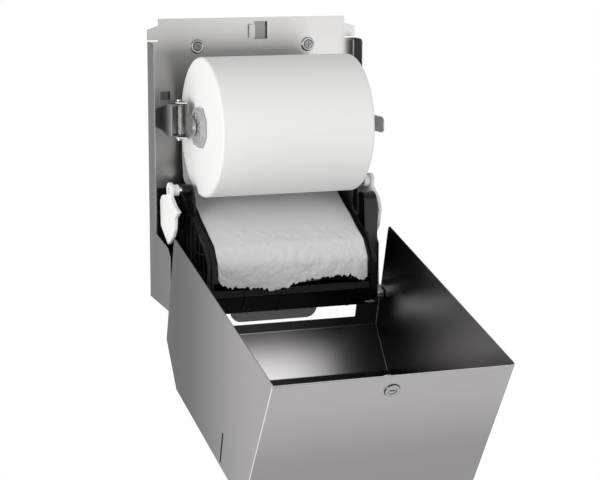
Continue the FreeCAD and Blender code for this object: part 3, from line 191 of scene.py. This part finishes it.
def brushed_steel(name, tone, roughness, scratch_depth, anisotropy=0.6, painted_shading_ramps=(), glance=1.0):
    """Brushed sheet whose grain runs along X, or along Y where a face looks along X. The painted shading
    ramps, as (facing, ways, axis, start, end, first share, last share), paint light and shade into the tone
    along an axis: the first on every face, the others on faces that look that way, or with 2 ways also its
    opposite. A facing longer than 1 takes in a wider cone. Glance is how much light comes off at a low
    angle."""
    finish = Finish(name, {
        "Base Color": (*tone, 1), "Metallic": 1.0, "Anisotropic": anisotropy, "Anisotropic Rotation": 0.25,
        "Specular Tint": (glance, glance, glance, 1)})
    add, link = finish.add, finish.link
    place = add("ShaderNodeTexCoord")
    along_x = add("ShaderNodeMapping", {"Scale": (grain_along, grain_across, grain_across)})
    along_y = add("ShaderNodeMapping", {"Scale": (grain_across, grain_along, grain_across)})
    pick = add("ShaderNodeMix", data_type="VECTOR")
    link(place.outputs["Object"], along_x.inputs["Vector"])
    link(place.outputs["Object"], along_y.inputs["Vector"])
    link(finish.faces(place.outputs["Normal"], (1, 0, 0), 2, roughly_facing), pick.inputs["Factor"])
    link(along_x.outputs["Vector"], pick.inputs["A"])
    link(along_y.outputs["Vector"], pick.inputs["B"])
    scratches = finish.pattern(pick.outputs["Result"], {"Scale": 1.0, "Detail": 5.0, "Roughness": 0.7})
    finish.raise_by(scratches, 1.0, scratch_depth)

    clouds = finish.pattern(place.outputs["Object"], {"Scale": 9.0, "Detail": 2.0})
    haze = add("ShaderNodeMath", {1: 0.06}, operation="MULTIPLY_ADD")
    link(clouds, haze.inputs[0])
    link(finish.spread(scratches, roughness - 0.05, roughness + 0.05), haze.inputs[2])
    finish.drive("Roughness", haze.outputs[0])

    grain = add("ShaderNodeCombineXYZ", {"X": 1.0, "Y": 0.02, "Z": 0.004})
    finish.drive("Tangent", grain.outputs["Vector"])

    # the grain's tone streaks, and where ramps are given, times their painted light and shade
    streaks_and_painted_shading = finish.spread(scratches, 0.93, 1.07)
    if painted_shading_ramps:
        level = add("ShaderNodeMath", operation="MULTIPLY")
        link(painted_shading_share(finish, place, painted_shading_ramps), level.inputs[0])
        link(streaks_and_painted_shading, level.inputs[1])
        streaks_and_painted_shading = level.outputs[0]
    shade = add("ShaderNodeMix", {"A": (*tone, 1), "Factor": 1.0}, data_type="RGBA", blend_type="MULTIPLY")
    link(streaks_and_painted_shading, shade.inputs["B"])
    finish.drive("Base Color", shade.outputs["Result"])
    return finish.material


def strip_width(face):
    """Rough width of a face: its area over half its perimeter."""
    return 2 * face.calc_area() / face.calc_perimeter()


def corner_edges(bm, degrees):
    """Edges between two faces that meet at more than this angle."""
    return [edge for edge in bm.edges
            if len(edge.link_faces) == 2 and edge.calc_face_angle() > math.radians(degrees)]


def round_edges(bm, edges, reach, segments=2):
    """Round edges off, by this reach into the faces beside them."""
    bmesh.ops.bevel(bm, geom=edges, offset=reach, offset_type="OFFSET", segments=segments, profile=0.5,
                    affect="EDGES", clamp_overlap=False, material=-1)


def dressed(name, bm, material, body, nodes):
    """The finished piece: a smooth-shaded object that rides on its body and stands for its nodes."""
    mesh = bpy.data.meshes.new(name)
    for face in bm.faces:
        face.smooth = True
    bm.to_mesh(mesh)
    bm.free()
    piece = bpy.data.objects.new(name, mesh)
    bpy.context.scene.collection.objects.link(piece)
    mesh.materials.append(material)
    even = piece.modifiers.new("EvenShading", "WEIGHTED_NORMAL")
    even.keep_sharp = True
    even.weight = 60
    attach(piece, body)
    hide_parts(*nodes)
    return piece


def eased(node, name, material, edge, fold=0.0):
    """A node's own shape with its edges rounded: by fold at the folds of a sheet, by edge elsewhere."""
    bm = bmesh.new()
    bm.from_mesh(frame["nodes"][node].data)
    bmesh.ops.remove_doubles(bm, verts=bm.verts, dist=weld_distance)
    bmesh.ops.recalc_face_normals(bm, faces=bm.faces)
    cornered = corner_edges(bm, corner_angle)
    if fold:
        narrow = {face for face in bm.faces if strip_width(face) < cut_edge_width}
        folds = [corner for corner in cornered
                 if not narrow.intersection(corner.link_faces) and corner.calc_length() > shortest_fold]
        round_edges(bm, folds, fold, 3)
        cornered = corner_edges(bm, corner_angle_after_folds)
    round_edges(bm, cornered, edge)
    return dressed(name, bm, material, frame["nodes"][node]["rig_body"], [node])


# painted shade: the tone halves in the pockets behind the plate, and the faces that look sideways, the
# flanges, are painted at under a third of it, darkest where they meet the plate
plate_back_painted_shade_span = ("Y", 0.0, 0.002)
flange_painted_shade_span = ("Y", -0.10, 0.0)
satin_sheet_painted_shade = brushed_steel(
    "SatinSheetPaintedShade", (0.345, 0.34, 0.33), roughness=0.30, scratch_depth=0.000012,
    painted_shading_ramps=((None, 0, *plate_back_painted_shade_span, 1.0, 0.5), ((1, 0, 0), 2, *flange_painted_shade_span, 0.29, 0.19)))
eased("cabinet", "folded_cabinet", satin_sheet_painted_shade, edge=broken_edge, fold=sheet_fold)

# ------------------------------------------------------------------ wall screws
# Four pan-head screws in pressed cup washers, driven through the back plate. All are zinc plated, the
# washers a dull grey and the screws nearly black.
cup_zinc = brushed_steel(
    "CupZinc", (0.42, 0.42, 0.41), roughness=0.25, scratch_depth=0.000004, anisotropy=0.0)
screw_zinc = brushed_steel(
    "ScrewZinc", (0.16, 0.16, 0.16), roughness=0.25, scratch_depth=0.000004, anisotropy=0.0)
eased("cup_washers", "pressed_cup_washers", cup_zinc, edge=0.0004)
eased("wall_screws", "driven_wall_screws", screw_zinc, edge=0.0002)

# ------------------------------------------------------------------ roll arms
# Left: a bent bracket riveted to the back plate, with a pin, a coil spring and a swinging leaf.
# Right: a plain bent arm. Bracket, leaf and arm are pressed from 2 mm strip and left dull. The pin is
# dull zinc plated, the spring and rivets bright.
bracket_painted_shade_span = ("X", -0.13, -0.11)
leaf_painted_shade_span = ("Z", -0.2, 0.0)
# sideways, in a wide cone and a wider one, where faces are painted lighter
side_facing = (1.25, 0, 0)
slant_facing = (1.7, 0, 0)
# painted shade: the bracket darker from its outer end inward and lighter on the faces that look sideways;
# the leaves' rims and edges at under half the tone of their sides
dark_strip_painted_shade = brushed_steel(
    "DarkStripPaintedShade", (0.30, 0.30, 0.30), roughness=0.30, scratch_depth=0.000008, anisotropy=0.2, glance=0.5,
    painted_shading_ramps=((None, 0, *bracket_painted_shade_span, 0.7, 0.2), (slant_facing, 2, *bracket_painted_shade_span, 1.3, 0.6)))
dull_strip_painted_shade = brushed_steel(
    "DullStripPaintedShade", (0.55, 0.55, 0.54), roughness=0.35, scratch_depth=0.000008, anisotropy=0.2,
    painted_shading_ramps=((None, 0, *leaf_painted_shade_span, 0.45, 0.45), (side_facing, 2, *leaf_painted_shade_span, 1.2, 1.2)))
plated = brushed_steel(
    "BrightZinc", (0.62, 0.62, 0.61), roughness=0.22, scratch_depth=0.000004, anisotropy=0.0)
eased("left_bracket", "bent_bracket", dark_strip_painted_shade, edge=0.0003)
eased("arm_pin", "headed_arm_pin", cup_zinc, edge=0.0003)
eased("arm_spring", "wound_arm_spring", plated, edge=0.00008)
eased("left_arm", "swinging_leaf", dull_strip_painted_shade, edge=0.0003)
eased("right_arm", "fixed_leaf", dull_strip_painted_shade, edge=0.0003)
eased("arm_rivets", "domed_arm_rivets", plated, edge=0.0004)


# ------------------------------------------------------------------ hubs
# Finned octagonal hubs that hold the roll, moulded in smoky translucent plastic. The left one turns on
# the leaf's stud, and the right one is pushed into the core and turns on the fixed arm's stud.
def clear_plastic(name, tone, roughness, clearness):
    """See-through plastic with faint swirls from the mould."""
    finish = Finish(name, {
        "Base Color": (*tone, 1), "Roughness": roughness, "Transmission Weight": clearness, "IOR": 1.5})
    place = finish.add("ShaderNodeTexCoord")
    swirl = finish.pattern(place.outputs["Object"], {"Scale": 120.0, "Detail": 3.0})
    finish.drive("Roughness", finish.spread(swirl, roughness - 0.05, roughness + 0.08))
    finish.raise_by(swirl, 0.4, 0.0001)
    return finish.material


smoky = clear_plastic("SmokyPlastic", (0.66, 0.67, 0.68), roughness=0.16, clearness=0.35)
eased("left_hub", "finned_left_hub", smoky, edge=0.0004)
eased("right_hub", "finned_right_hub", smoky, edge=0.0004)


# ------------------------------------------------------------------ paper roll
# A roll of white crepe towel, wound on a tube of brown board. Its ends show the edges of the wound
# layers, and its rims are softly rounded.
roll_low, roll_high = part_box("paper_roll")
roll_axis = (roll_low + roll_high) / 2
roll_radius = (roll_high.z - roll_low.z) / 2
roll_steps = 128
core_low, core_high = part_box("roll_core")
core_radius = (core_high.z - core_low.z) / 2
layer_count = 44
layer_lift = 0.00025
rim_round = 0.0035
rim_steps = 6
random.seed(7)
# heights over which paper goes over to the painted shadow of the roll, which darkens it high up
painted_roll_shadow_span = ("Z", -0.105, -0.06)


def crepe_paper(name, tone, crepe_depth, pitch, shaded=1.0):
    """Soft white paper with fine crepe ridges that run along X, painted shade in their troughs, and high up
    a painted shadow that brings its tone down to the shaded share.
    """
    finish = Finish(name, {
        "Base Color": (*tone, 1), "Roughness": 0.9, "Specular IOR Level": 0.25, "Sheen Weight": 0.15,
        "Sheen Roughness": 0.6})
    place = finish.add("ShaderNodeTexCoord")
    stretch = finish.add("ShaderNodeMapping", {"Scale": (0.25 / pitch, 1 / pitch, 1 / pitch)})
    finish.link(place.outputs["Object"], stretch.inputs["Vector"])
    ridges = finish.pattern(stretch.outputs["Vector"], {"Scale": 1.0, "Detail": 4.0, "Roughness": 0.6})
    fibres = finish.pattern(place.outputs["Object"], {"Scale": 900.0, "Detail": 2.0})
    both = finish.add("ShaderNodeMath", {1: 0.5}, operation="MULTIPLY_ADD")
    finish.link(fibres, both.inputs[0])
    finish.link(ridges, both.inputs[2])
    finish.raise_by(both.outputs[0], 0.6, crepe_depth)
    shade = finish.add("ShaderNodeMix", {"Factor": 1.0}, data_type="RGBA", blend_type="MULTIPLY")
    # painted shade in the crepe: the tone falls to 0.93 of itself where the ridges are low
    finish.link(finish.tint(ridges, tone, 0.93), shade.inputs["A"])
    finish.link(finish.ramp(place.outputs["Object"], *painted_roll_shadow_span, 1.0, shaded), shade.inputs["B"])
    finish.drive("Base Color", shade.outputs["Result"])
    return finish.material


def spun(profile, axis_point, steps):
    """A closed profile of (x, radius) points turned full circle about an axis along X."""
    bm = bmesh.new()
    ring = [bm.verts.new((x, axis_point.y, axis_point.z + radius)) for x, radius in profile]
    edges = [bm.edges.new((ring[i - 1], ring[i])) for i in range(len(ring))]
    bmesh.ops.spin(bm, geom=ring + edges, cent=axis_point, axis=(1, 0, 0), angle=2 * math.pi, steps=steps,
                   use_merge=True)
    bmesh.ops.recalc_face_normals(bm, faces=bm.faces)
    return bm


def wound_end(face_x, inward):
    """Points up a wound end, from the core to the round at the rim: each layer ends a little further in
    or out than the next."""
    points = []
    for k in range(layer_count):
        share = k / (layer_count - 1)
        radius = core_radius + (roll_radius - rim_round - core_radius) * share
        points.append((face_x + inward * random.uniform(0, layer_lift), radius))
    for k in range(1, rim_steps + 1):
        turn = math.pi / 2 * k / rim_steps
        points.append((face_x + inward * rim_round * (1 - math.cos(turn)),
                       roll_radius - rim_round * (1 - math.sin(turn))))
    return points


roll_profile = wound_end(roll_low.x, 1) + wound_end(roll_high.x, -1)[::-1]
towel_white = crepe_paper("TowelWhite", (0.91, 0.91, 0.90), crepe_depth=0.0001, pitch=0.0012)
dressed("wound_towel_roll", spun(roll_profile, roll_axis, roll_steps), towel_white, "roll",
        ["paper_roll"])


def wound_board(name, tone):
    """Rough board with darker fibres."""
    finish = Finish(name, {"Base Color": (*tone, 1), "Roughness": 0.85})
    place = finish.add("ShaderNodeTexCoord")
    fibres = finish.pattern(place.outputs["Object"], {"Scale": 400.0, "Detail": 4.0})
    finish.drive("Base Color", finish.tint(fibres, tone, 0.8))
    finish.raise_by(fibres, 0.5, 0.0001)
    return finish.material


eased("roll_core", "board_core", wound_board("CoreBoard", (0.5, 0.42, 0.33)), edge=0.0003)


# ------------------------------------------------------------------ feed module
# Side frames, top cover and rear beam, moulded in black plastic with a low gloss and screwed to the
# back plate through their feet.
def moulded(name, tone, roughness, grain_depth, gloss=0.5):
    """Moulded plastic with a fine spark texture and slightly uneven gloss."""
    finish = Finish(name, {"Base Color": (*tone, 1), "IOR": 1.5, "Specular IOR Level": gloss})
    place = finish.add("ShaderNodeTexCoord")
    spark = finish.pattern(place.outputs["Object"], {"Scale": 2600.0, "Detail": 2.0})
    flow = finish.pattern(place.outputs["Object"], {"Scale": 35.0, "Detail": 3.0})
    finish.drive("Roughness", finish.spread(flow, roughness - 0.06, roughness + 0.08))
    finish.drive("Base Color", finish.tint(flow, tone, 0.85))
    finish.raise_by(spark, 0.5, grain_depth)
    return finish.material


black_plastic = moulded(
    "BlackPlastic", (0.006, 0.006, 0.0065), roughness=0.36, grain_depth=0.00003, gloss=0.22)
eased("left_frame", "ribbed_left_frame", black_plastic, edge=0.0003)
eased("right_frame", "plain_right_frame", black_plastic, edge=0.0003)
eased("module_cover", "curved_module_cover", black_plastic, edge=0.0003)
eased("rear_beam", "windowed_rear_beam", black_plastic, edge=0.0005)
eased("module_screws", "module_foot_screws", plated, edge=0.0002)

# ------------------------------------------------------------------ rollers
# Steel shafts with three soft rubber sleeves each, which grip the towel. The driven one turns in
# acetal bushes, and the pinch roller straight in the side frames. The lever's plain shaft is with them.
roller_rubber = moulded("RollerRubber", (0.03, 0.03, 0.03), roughness=0.75, grain_depth=0.0001)
acetal = moulded("NaturalAcetal", (0.75, 0.74, 0.68), roughness=0.35, grain_depth=0.00002)
for shaft in ("feed_shaft", "pinch_shaft", "lever_shaft"):
    eased(shaft, "turned_" + shaft, plated, edge=0.0003)
for sleeves in ("feed_sleeves", "pinch_sleeves"):
    eased(sleeves, "moulded_" + sleeves, roller_rubber, edge=0.0004)
eased("feed_bushes", "flush_feed_bushes", acetal, edge=0.0002)

# ------------------------------------------------------------------ lever and gears
# The smoky paddle below the bar swings a sector gear, which drives the pinion on the roller's shaft.
# The gears are moulded in acetal, the yoke and the cover over them in black plastic, and the spring is
# wound from bright wire.
for gear in ("sector_gear", "drive_pinion"):
    eased(gear, "moulded_" + gear, acetal, edge=0.00015)
eased("lever_yoke", "moulded_lever_yoke", black_plastic, edge=0.0004)
eased("lever_spring", "wound_lever_spring", plated, edge=0.00008)
dark_smoky = clear_plastic("DarkSmokyPlastic", (0.30, 0.30, 0.31), roughness=0.3, clearness=0.35)
eased("push_paddle", "smoky_push_paddle", dark_smoky, edge=0.0008)
eased("gear_cover", "towered_gear_cover", black_plastic, edge=0.0012)

# ------------------------------------------------------------------ front bar
# A channel below the cover, moulded in glossy black plastic with four ribs. The toothed steel blade is
# riveted on behind it.
glossy_black = moulded(
    "GlossyBlack", (0.003, 0.003, 0.0034), roughness=0.18, grain_depth=0.00001, gloss=0.13)
eased("front_bar", "glossy_front_bar", glossy_black, edge=0.0004)
eased("tear_blade", "toothed_blade", plated, edge=0.0001)
eased("blade_rivets", "domed_blade_rivets", plated, edge=0.0002)

# ------------------------------------------------------------------ side latches
# Latches moulded in white plastic, one at each side of the feed module. Each turns on a plain steel
# pin in the side frame.
latch_white = moulded("LatchWhite", (0.88, 0.88, 0.87), roughness=0.30, grain_depth=0.00002)
for latch in ("left_latch", "right_latch"):
    eased(latch, "white_" + latch, latch_white, edge=0.0009)
eased("latch_pins", "turned_latch_pins", plated, edge=0.0004)

# ------------------------------------------------------------------ towel tail
# The torn end of the towel: it comes off the back of the roll, lies over the cover and ends ragged
# above the bar, softly crumpled where it was handled.
mm = 0.001
tail_low, tail_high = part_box("towel_tail")
tail_width = tail_high.x - tail_low.x
columns, rows = 200, 260
# corners of the towel's run as (y, z, radius) in millimetres, from the back of the roll over the
# cover to the bar
tail_corners = [
    (-14.2, 26, 0), (-15.6, -6, 20), (-19.4, -44.2, 12), (-150.6, -115.9, 18), (-165.0, -135.6, 20),
    (-165.0, -178, 0)]
# how many millimetres the torn edge stays short of the run's end, across the towel from left to right
tear_shares = (0.0, 0.03, 0.065, 0.117, 0.174, 0.275, 0.385, 0.45, 0.522, 0.642, 0.764, 0.882, 0.972, 1.0)
tear_short = (22.5, 15.5, 12.7, 11.4, 10.7, 8.6, 6.0, 8.0, 12.9, 17.8, 18.4, 18.5, 12.0, 14.0)
# how far the shreds, nicks and teeth of the torn edge reach, and how many fit across the towel
shred_length, shred_count = 1.9 * mm, 21
nick_length, nick_count = 4.0 * mm, 60
tooth_length, tooth_count = 3.0 * mm, 62
# how high the paper stands off its run: everywhere, in waves, and in creases and crinkles, whose second
# height is added where the towel was handled, past a share of its length
least_lift = 0.25 * mm
wave_lift = 0.5 * mm
crease_lifts = (0.12 * mm, 1.9 * mm)
crinkle_lifts = (0.10 * mm, 0.8 * mm)
handled_from = 0.6
# how many waves, creases and crinkles fit across the towel and down it
wave_counts = (5, 7)
crease_counts = (9, 15)
crinkle_counts = (16, 40)
# how far the side edges wander, how often, and how fast that fades towards the middle
edge_wander = 0.6 * mm
edge_wander_count = 9
edge_fade = 8


def rounded_run(corners):
    """Straight runs and arcs through the corners, as (kind, length, start, heading, turn to the left)."""
    points = [Vector((y, z)) * mm for y, z, radius in corners]
    runs = []
    start = points[0]
    for i in range(1, len(points) - 1):
        before = (points[i] - points[i - 1]).normalized()
        after = (points[i + 1] - points[i]).normalized()
        turn = -before.angle_signed(after)
        radius = corners[i][2] * mm
        reach = radius * math.tan(abs(turn) / 2)
        arrive = points[i] - before * reach
        runs.append(("straight", (arrive - start).length, start, before, 0.0))
        runs.append(("arc", radius * abs(turn), arrive, before, turn))
        start = points[i] + after * reach
    last = points[-1] - start
    runs.append(("straight", last.length, start, last.normalized(), 0.0))
    return runs


def spot_on(runs, distance):
    """Place and heading in the (y, z) plane at a distance along the runs."""
    for kind, length, start, heading, turn in runs:
        if distance <= length:
            break
        distance -= length
    else:
        distance += length
    if kind == "straight":
        return start + heading * distance, heading
    radius = length / abs(turn)
    side = Vector((-heading.y, heading.x)) * math.copysign(1, turn)
    centre = start + side * radius
    turned = Matrix.Rotation(turn * distance / length, 2)
    return centre + turned @ (start - centre), turned @ heading


def tear_at(share):
    """How far the torn edge stays short of the run's end, at a share of the towel's width."""
    for k in range(len(tear_shares) - 1):
        if share <= tear_shares[k + 1]:
            part = (share - tear_shares[k]) / (tear_shares[k + 1] - tear_shares[k])
            smooth = part * part * (3 - 2 * part)
            return (tear_short[k] + (tear_short[k + 1] - tear_short[k]) * smooth) * mm
    return tear_short[-1] * mm


def ragged_at(across):
    """How far the torn edge's shreds, nicks and teeth stand out past its smooth line."""
    shreds = noise.fractal(Vector((across * shred_count, 3.1, 0)), 0.75, 2.3, 6)
    nicks = max(0.0, noise.noise(Vector((across * nick_count, 9.7, 0))) - 0.1)
    teeth = noise.noise(Vector((across * tooth_count, 4.4, 0)))
    return shred_length * shreds - nick_length * nicks + tooth_length * teeth


def layer_spot(across, down, counts, layer, shift=0):
    """Where to read a layer of noise that repeats so many times across and down."""
    return Vector((across * counts[0] + shift, down * counts[1], layer))


def lift_at(across, down):
    """How high the crumpled paper stands off its run."""
    handled = max(0.0, min(1.0, (down - handled_from) / (1 - handled_from)))
    waves = max(0.0, noise.noise(layer_spot(across, down, wave_counts, 2.0)))
    creases = abs(noise.fractal(layer_spot(across, down, crease_counts, 5.0, 4), 0.8, 2.1, 2))
    crinkle = abs(noise.fractal(layer_spot(across, down, crinkle_counts, 1.5), 0.7, 2.2, 2))
    return (least_lift + wave_lift * waves + (crease_lifts[0] + crease_lifts[1] * handled) * creases
            + (crinkle_lifts[0] + crinkle_lifts[1] * handled) * crinkle)


tail_runs = rounded_run(tail_corners)
tail_reach = sum(run[1] for run in tail_runs)
bm = bmesh.new()
bmesh.ops.create_grid(bm, x_segments=columns, y_segments=rows, size=0.5)
for vert in bm.verts:
    across, down = vert.co.x + 0.5, 0.5 - vert.co.y
    spot, heading = spot_on(tail_runs, down * (tail_reach - tear_at(across) + ragged_at(across)))
    outward = Vector((heading.y, -heading.x))
    wander = edge_wander * noise.noise(Vector((down * edge_wander_count, 8.0, 1.0 if across > 0.5 else 5.0)))
    edge_share = abs(across - 0.5) * 2
    x = tail_low.x + across * tail_width + wander * edge_share ** edge_fade
    vert.co = Vector((x, *(spot + outward * lift_at(across, down))))
bmesh.ops.recalc_face_normals(bm, faces=bm.faces)
# the tail's top, under the roll, darkened to 0.68 of its tone by a painted shadow of the roll
towel_soft_painted_shadow = crepe_paper("TowelSoftPaintedShadow", (0.82, 0.82, 0.82), crepe_depth=0.0001, pitch=0.0015, shaded=0.68)
tail = dressed("torn_towel_tail", bm, towel_soft_painted_shadow, "cabinet", ["towel_tail"])
ply = tail.modifiers.new("Ply", "SOLIDIFY")
ply.thickness = 0.14 * mm
ply.offset = 0.0

# ------------------------------------------------------------------ hinge
# Two headed pins through the cabinet's flanges and through small bent brackets inside them. The pins
# are bright zinc plated, and the brackets have a pale coat.
eased("hinge_pins", "headed_hinge_pins", plated, edge=0.0003)
pale_coat = moulded("PaleCoat", (0.80, 0.80, 0.79), roughness=0.45, grain_depth=0.00001)
eased("hinge_brackets", "bent_hinge_brackets", pale_coat, edge=0.0002)

# ------------------------------------------------------------------ door
# A deep steel shell folded from one sheet, brushed outside, with level slots in its sides, a mouth
# for the towel in its bottom and lugs for the hinge. It hangs open on its pins.
roof_painted_light_span = ("Z", -0.34, -0.23)
wall_painted_shade_span = ("Y", -0.46, -0.11)
slope_painted_light_span = ("X", -0.02, 0.13)
# which way its roof, its slope and the fold between roof and side look while it hangs open; faces that look
# so are painted lighter or darker
roof_facing = (0, 0.850, 0.526)
slope_facing = (0, -0.808, 0.589)
corner_facing = (0.784, 0.667, 0.413)
# painted light and shade: faces that look no listed way at 0.4 of the tone, the roof lighter towards its
# top, a painted highlight along the fold between roof and side, the side walls darker towards the cabinet,
# and one face of the slope bright at its left and dark at its right
door_sheet_painted_light = brushed_steel(
    "DoorSheetPaintedLight", (0.46, 0.445, 0.445), roughness=0.28, scratch_depth=0.000010, glance=0.8, painted_shading_ramps=(
        (None, 0, *roof_painted_light_span, 0.4, 0.4),
        (roof_facing, 2, *roof_painted_light_span, 0.95, 1.30),
        (corner_facing, 2, *roof_painted_light_span, 2.1, 2.1),
        ((1, 0, 0), 2, *wall_painted_shade_span, 0.90, 0.18),
        (slope_facing, 2, *roof_painted_light_span, 0.95, 1.30),
        (slope_facing, 1, *slope_painted_light_span, 2.1, 0.20)))
eased("door", "folded_door", door_sheet_painted_light, edge=broken_edge, fold=sheet_fold)

# ------------------------------------------------------------------ lock
# A nickel-plated cylinder with a keyed plug, held by a nut behind the roof. The nut, the cam and its
# screw are bright zinc plated.
# painted shade: every face but those that look like the roof is at a tenth of the tone, so the rims, sides
# and keyway show dark
lock_nickel_painted_shade = brushed_steel(
    "LockNickelPaintedShade", (0.62, 0.62, 0.61), roughness=0.22, scratch_depth=0.000004, anisotropy=0.0, glance=0.5,
    painted_shading_ramps=((None, 0, *roof_painted_light_span, 0.1, 0.1), (roof_facing, 2, *roof_painted_light_span, 1.0, 1.0)))
eased("lock_body", "turned_lock_body", lock_nickel_painted_shade, edge=0.0004)
eased("lock_plug", "keyed_lock_plug", lock_nickel_painted_shade, edge=0.0002)
eased("lock_nut", "thin_lock_nut", plated, edge=0.0004)
eased("lock_cam", "hooked_lock_cam", plated, edge=0.0003)
eased("cam_screw", "pan_cam_screw", plated, edge=0.0003)

# ------------------------------------------------------------------ floor, lamps and camera
# A pale floor below, a white surround, soft lamps at the left and low in front, and the camera in
# front and to the left, looking slightly down.
floor_size = 3.8
floor_drop = 0.9
ambient = 0.55
camera_yaw = math.radians(20.434)
camera_pitch = math.radians(9.557)
camera_place = (-0.808175, -2.349208, 0.282631)

bm = bmesh.new()
bmesh.ops.create_grid(bm, x_segments=1, y_segments=1, size=floor_size / 2)
bmesh.ops.translate(bm, verts=bm.verts, vec=(0, 0, cad_box[0].z - floor_drop))
floor_mesh = bpy.data.meshes.new("pale_floor")
bm.to_mesh(floor_mesh)
bm.free()
floor = bpy.data.objects.new("pale_floor", floor_mesh)
bpy.context.scene.collection.objects.link(floor)
floor_finish = Finish("PaleFloor", {"Base Color": (0.85, 0.85, 0.85, 1), "Roughness": 0.9})
speckle = floor_finish.add("ShaderNodeTexNoise", {"Scale": 60.0})
floor_finish.raise_by(speckle.outputs["Fac"], 0.1, 0.001)
floor_mesh.materials.append(floor_finish.material)

world = bpy.data.worlds.new("WhiteSurround")
bpy.context.scene.world = world
world.use_nodes = True
sky = world.node_tree
plain = sky.nodes["Background"]
plain.inputs["Color"].default_value = (1, 1, 1, 1)
plain.inputs["Strength"].default_value = ambient
white = sky.nodes.new("ShaderNodeBackground")
white.inputs["Color"].default_value = (1, 1, 1, 1)
# rays from the camera, and those off gloss and through clear plastic, meet plain white
rays = sky.nodes.new("ShaderNodeLightPath")
seen = rays.outputs["Is Camera Ray"]
for kind in ("Is Glossy Ray", "Is Transmission Ray"):
    either = sky.nodes.new("ShaderNodeMath")
    either.operation = "MAXIMUM"
    sky.links.new(seen, either.inputs[0])
    sky.links.new(rays.outputs[kind], either.inputs[1])
    seen = either.outputs[0]
choose = sky.nodes.new("ShaderNodeMixShader")
sky.links.new(seen, choose.inputs["Fac"])
sky.links.new(plain.outputs[0], choose.inputs[1])
sky.links.new(white.outputs[0], choose.inputs[2])
sky.links.new(choose.outputs[0], sky.nodes["World Output"].inputs["Surface"])


def lamp(name, spot, size, watts, aim):
    """A square lamp at a spot, turned to its aim."""
    light = bpy.data.lights.new(name, "AREA")
    light.shape = "SQUARE"
    light.size = size
    light.energy = watts
    holder = bpy.data.objects.new(name, light)
    bpy.context.scene.collection.objects.link(holder)
    holder.location = spot
    holder.rotation_mode = "QUATERNION"
    holder.rotation_quaternion = (Vector(aim) - Vector(spot)).to_track_quat("-Z", "Y")


lamp("left_lamp", spot=(-2.2, -1.1, 0.0), size=1.2, watts=32, aim=(0, -0.1, 0))
lamp("front_lamp", spot=(1.2, -2.5, -0.6), size=1.5, watts=19, aim=(0, -0.15, -0.05))

camera_data = bpy.data.cameras.new("view_camera")
camera_data.sensor_width = 36.0
camera_data.lens = 111.747
camera = bpy.data.objects.new("view_camera", camera_data)
bpy.context.scene.collection.objects.link(camera)
camera.location = camera_place
sight = Vector((
    math.sin(camera_yaw) * math.cos(camera_pitch), math.cos(camera_yaw) * math.cos(camera_pitch),
    -math.sin(camera_pitch)))
camera.rotation_mode = "QUATERNION"
camera.rotation_quaternion = sight.to_track_quat("-Z", "Y")
bpy.context.scene.camera = camera
bpy.context.scene.view_settings.view_transform = "Standard"
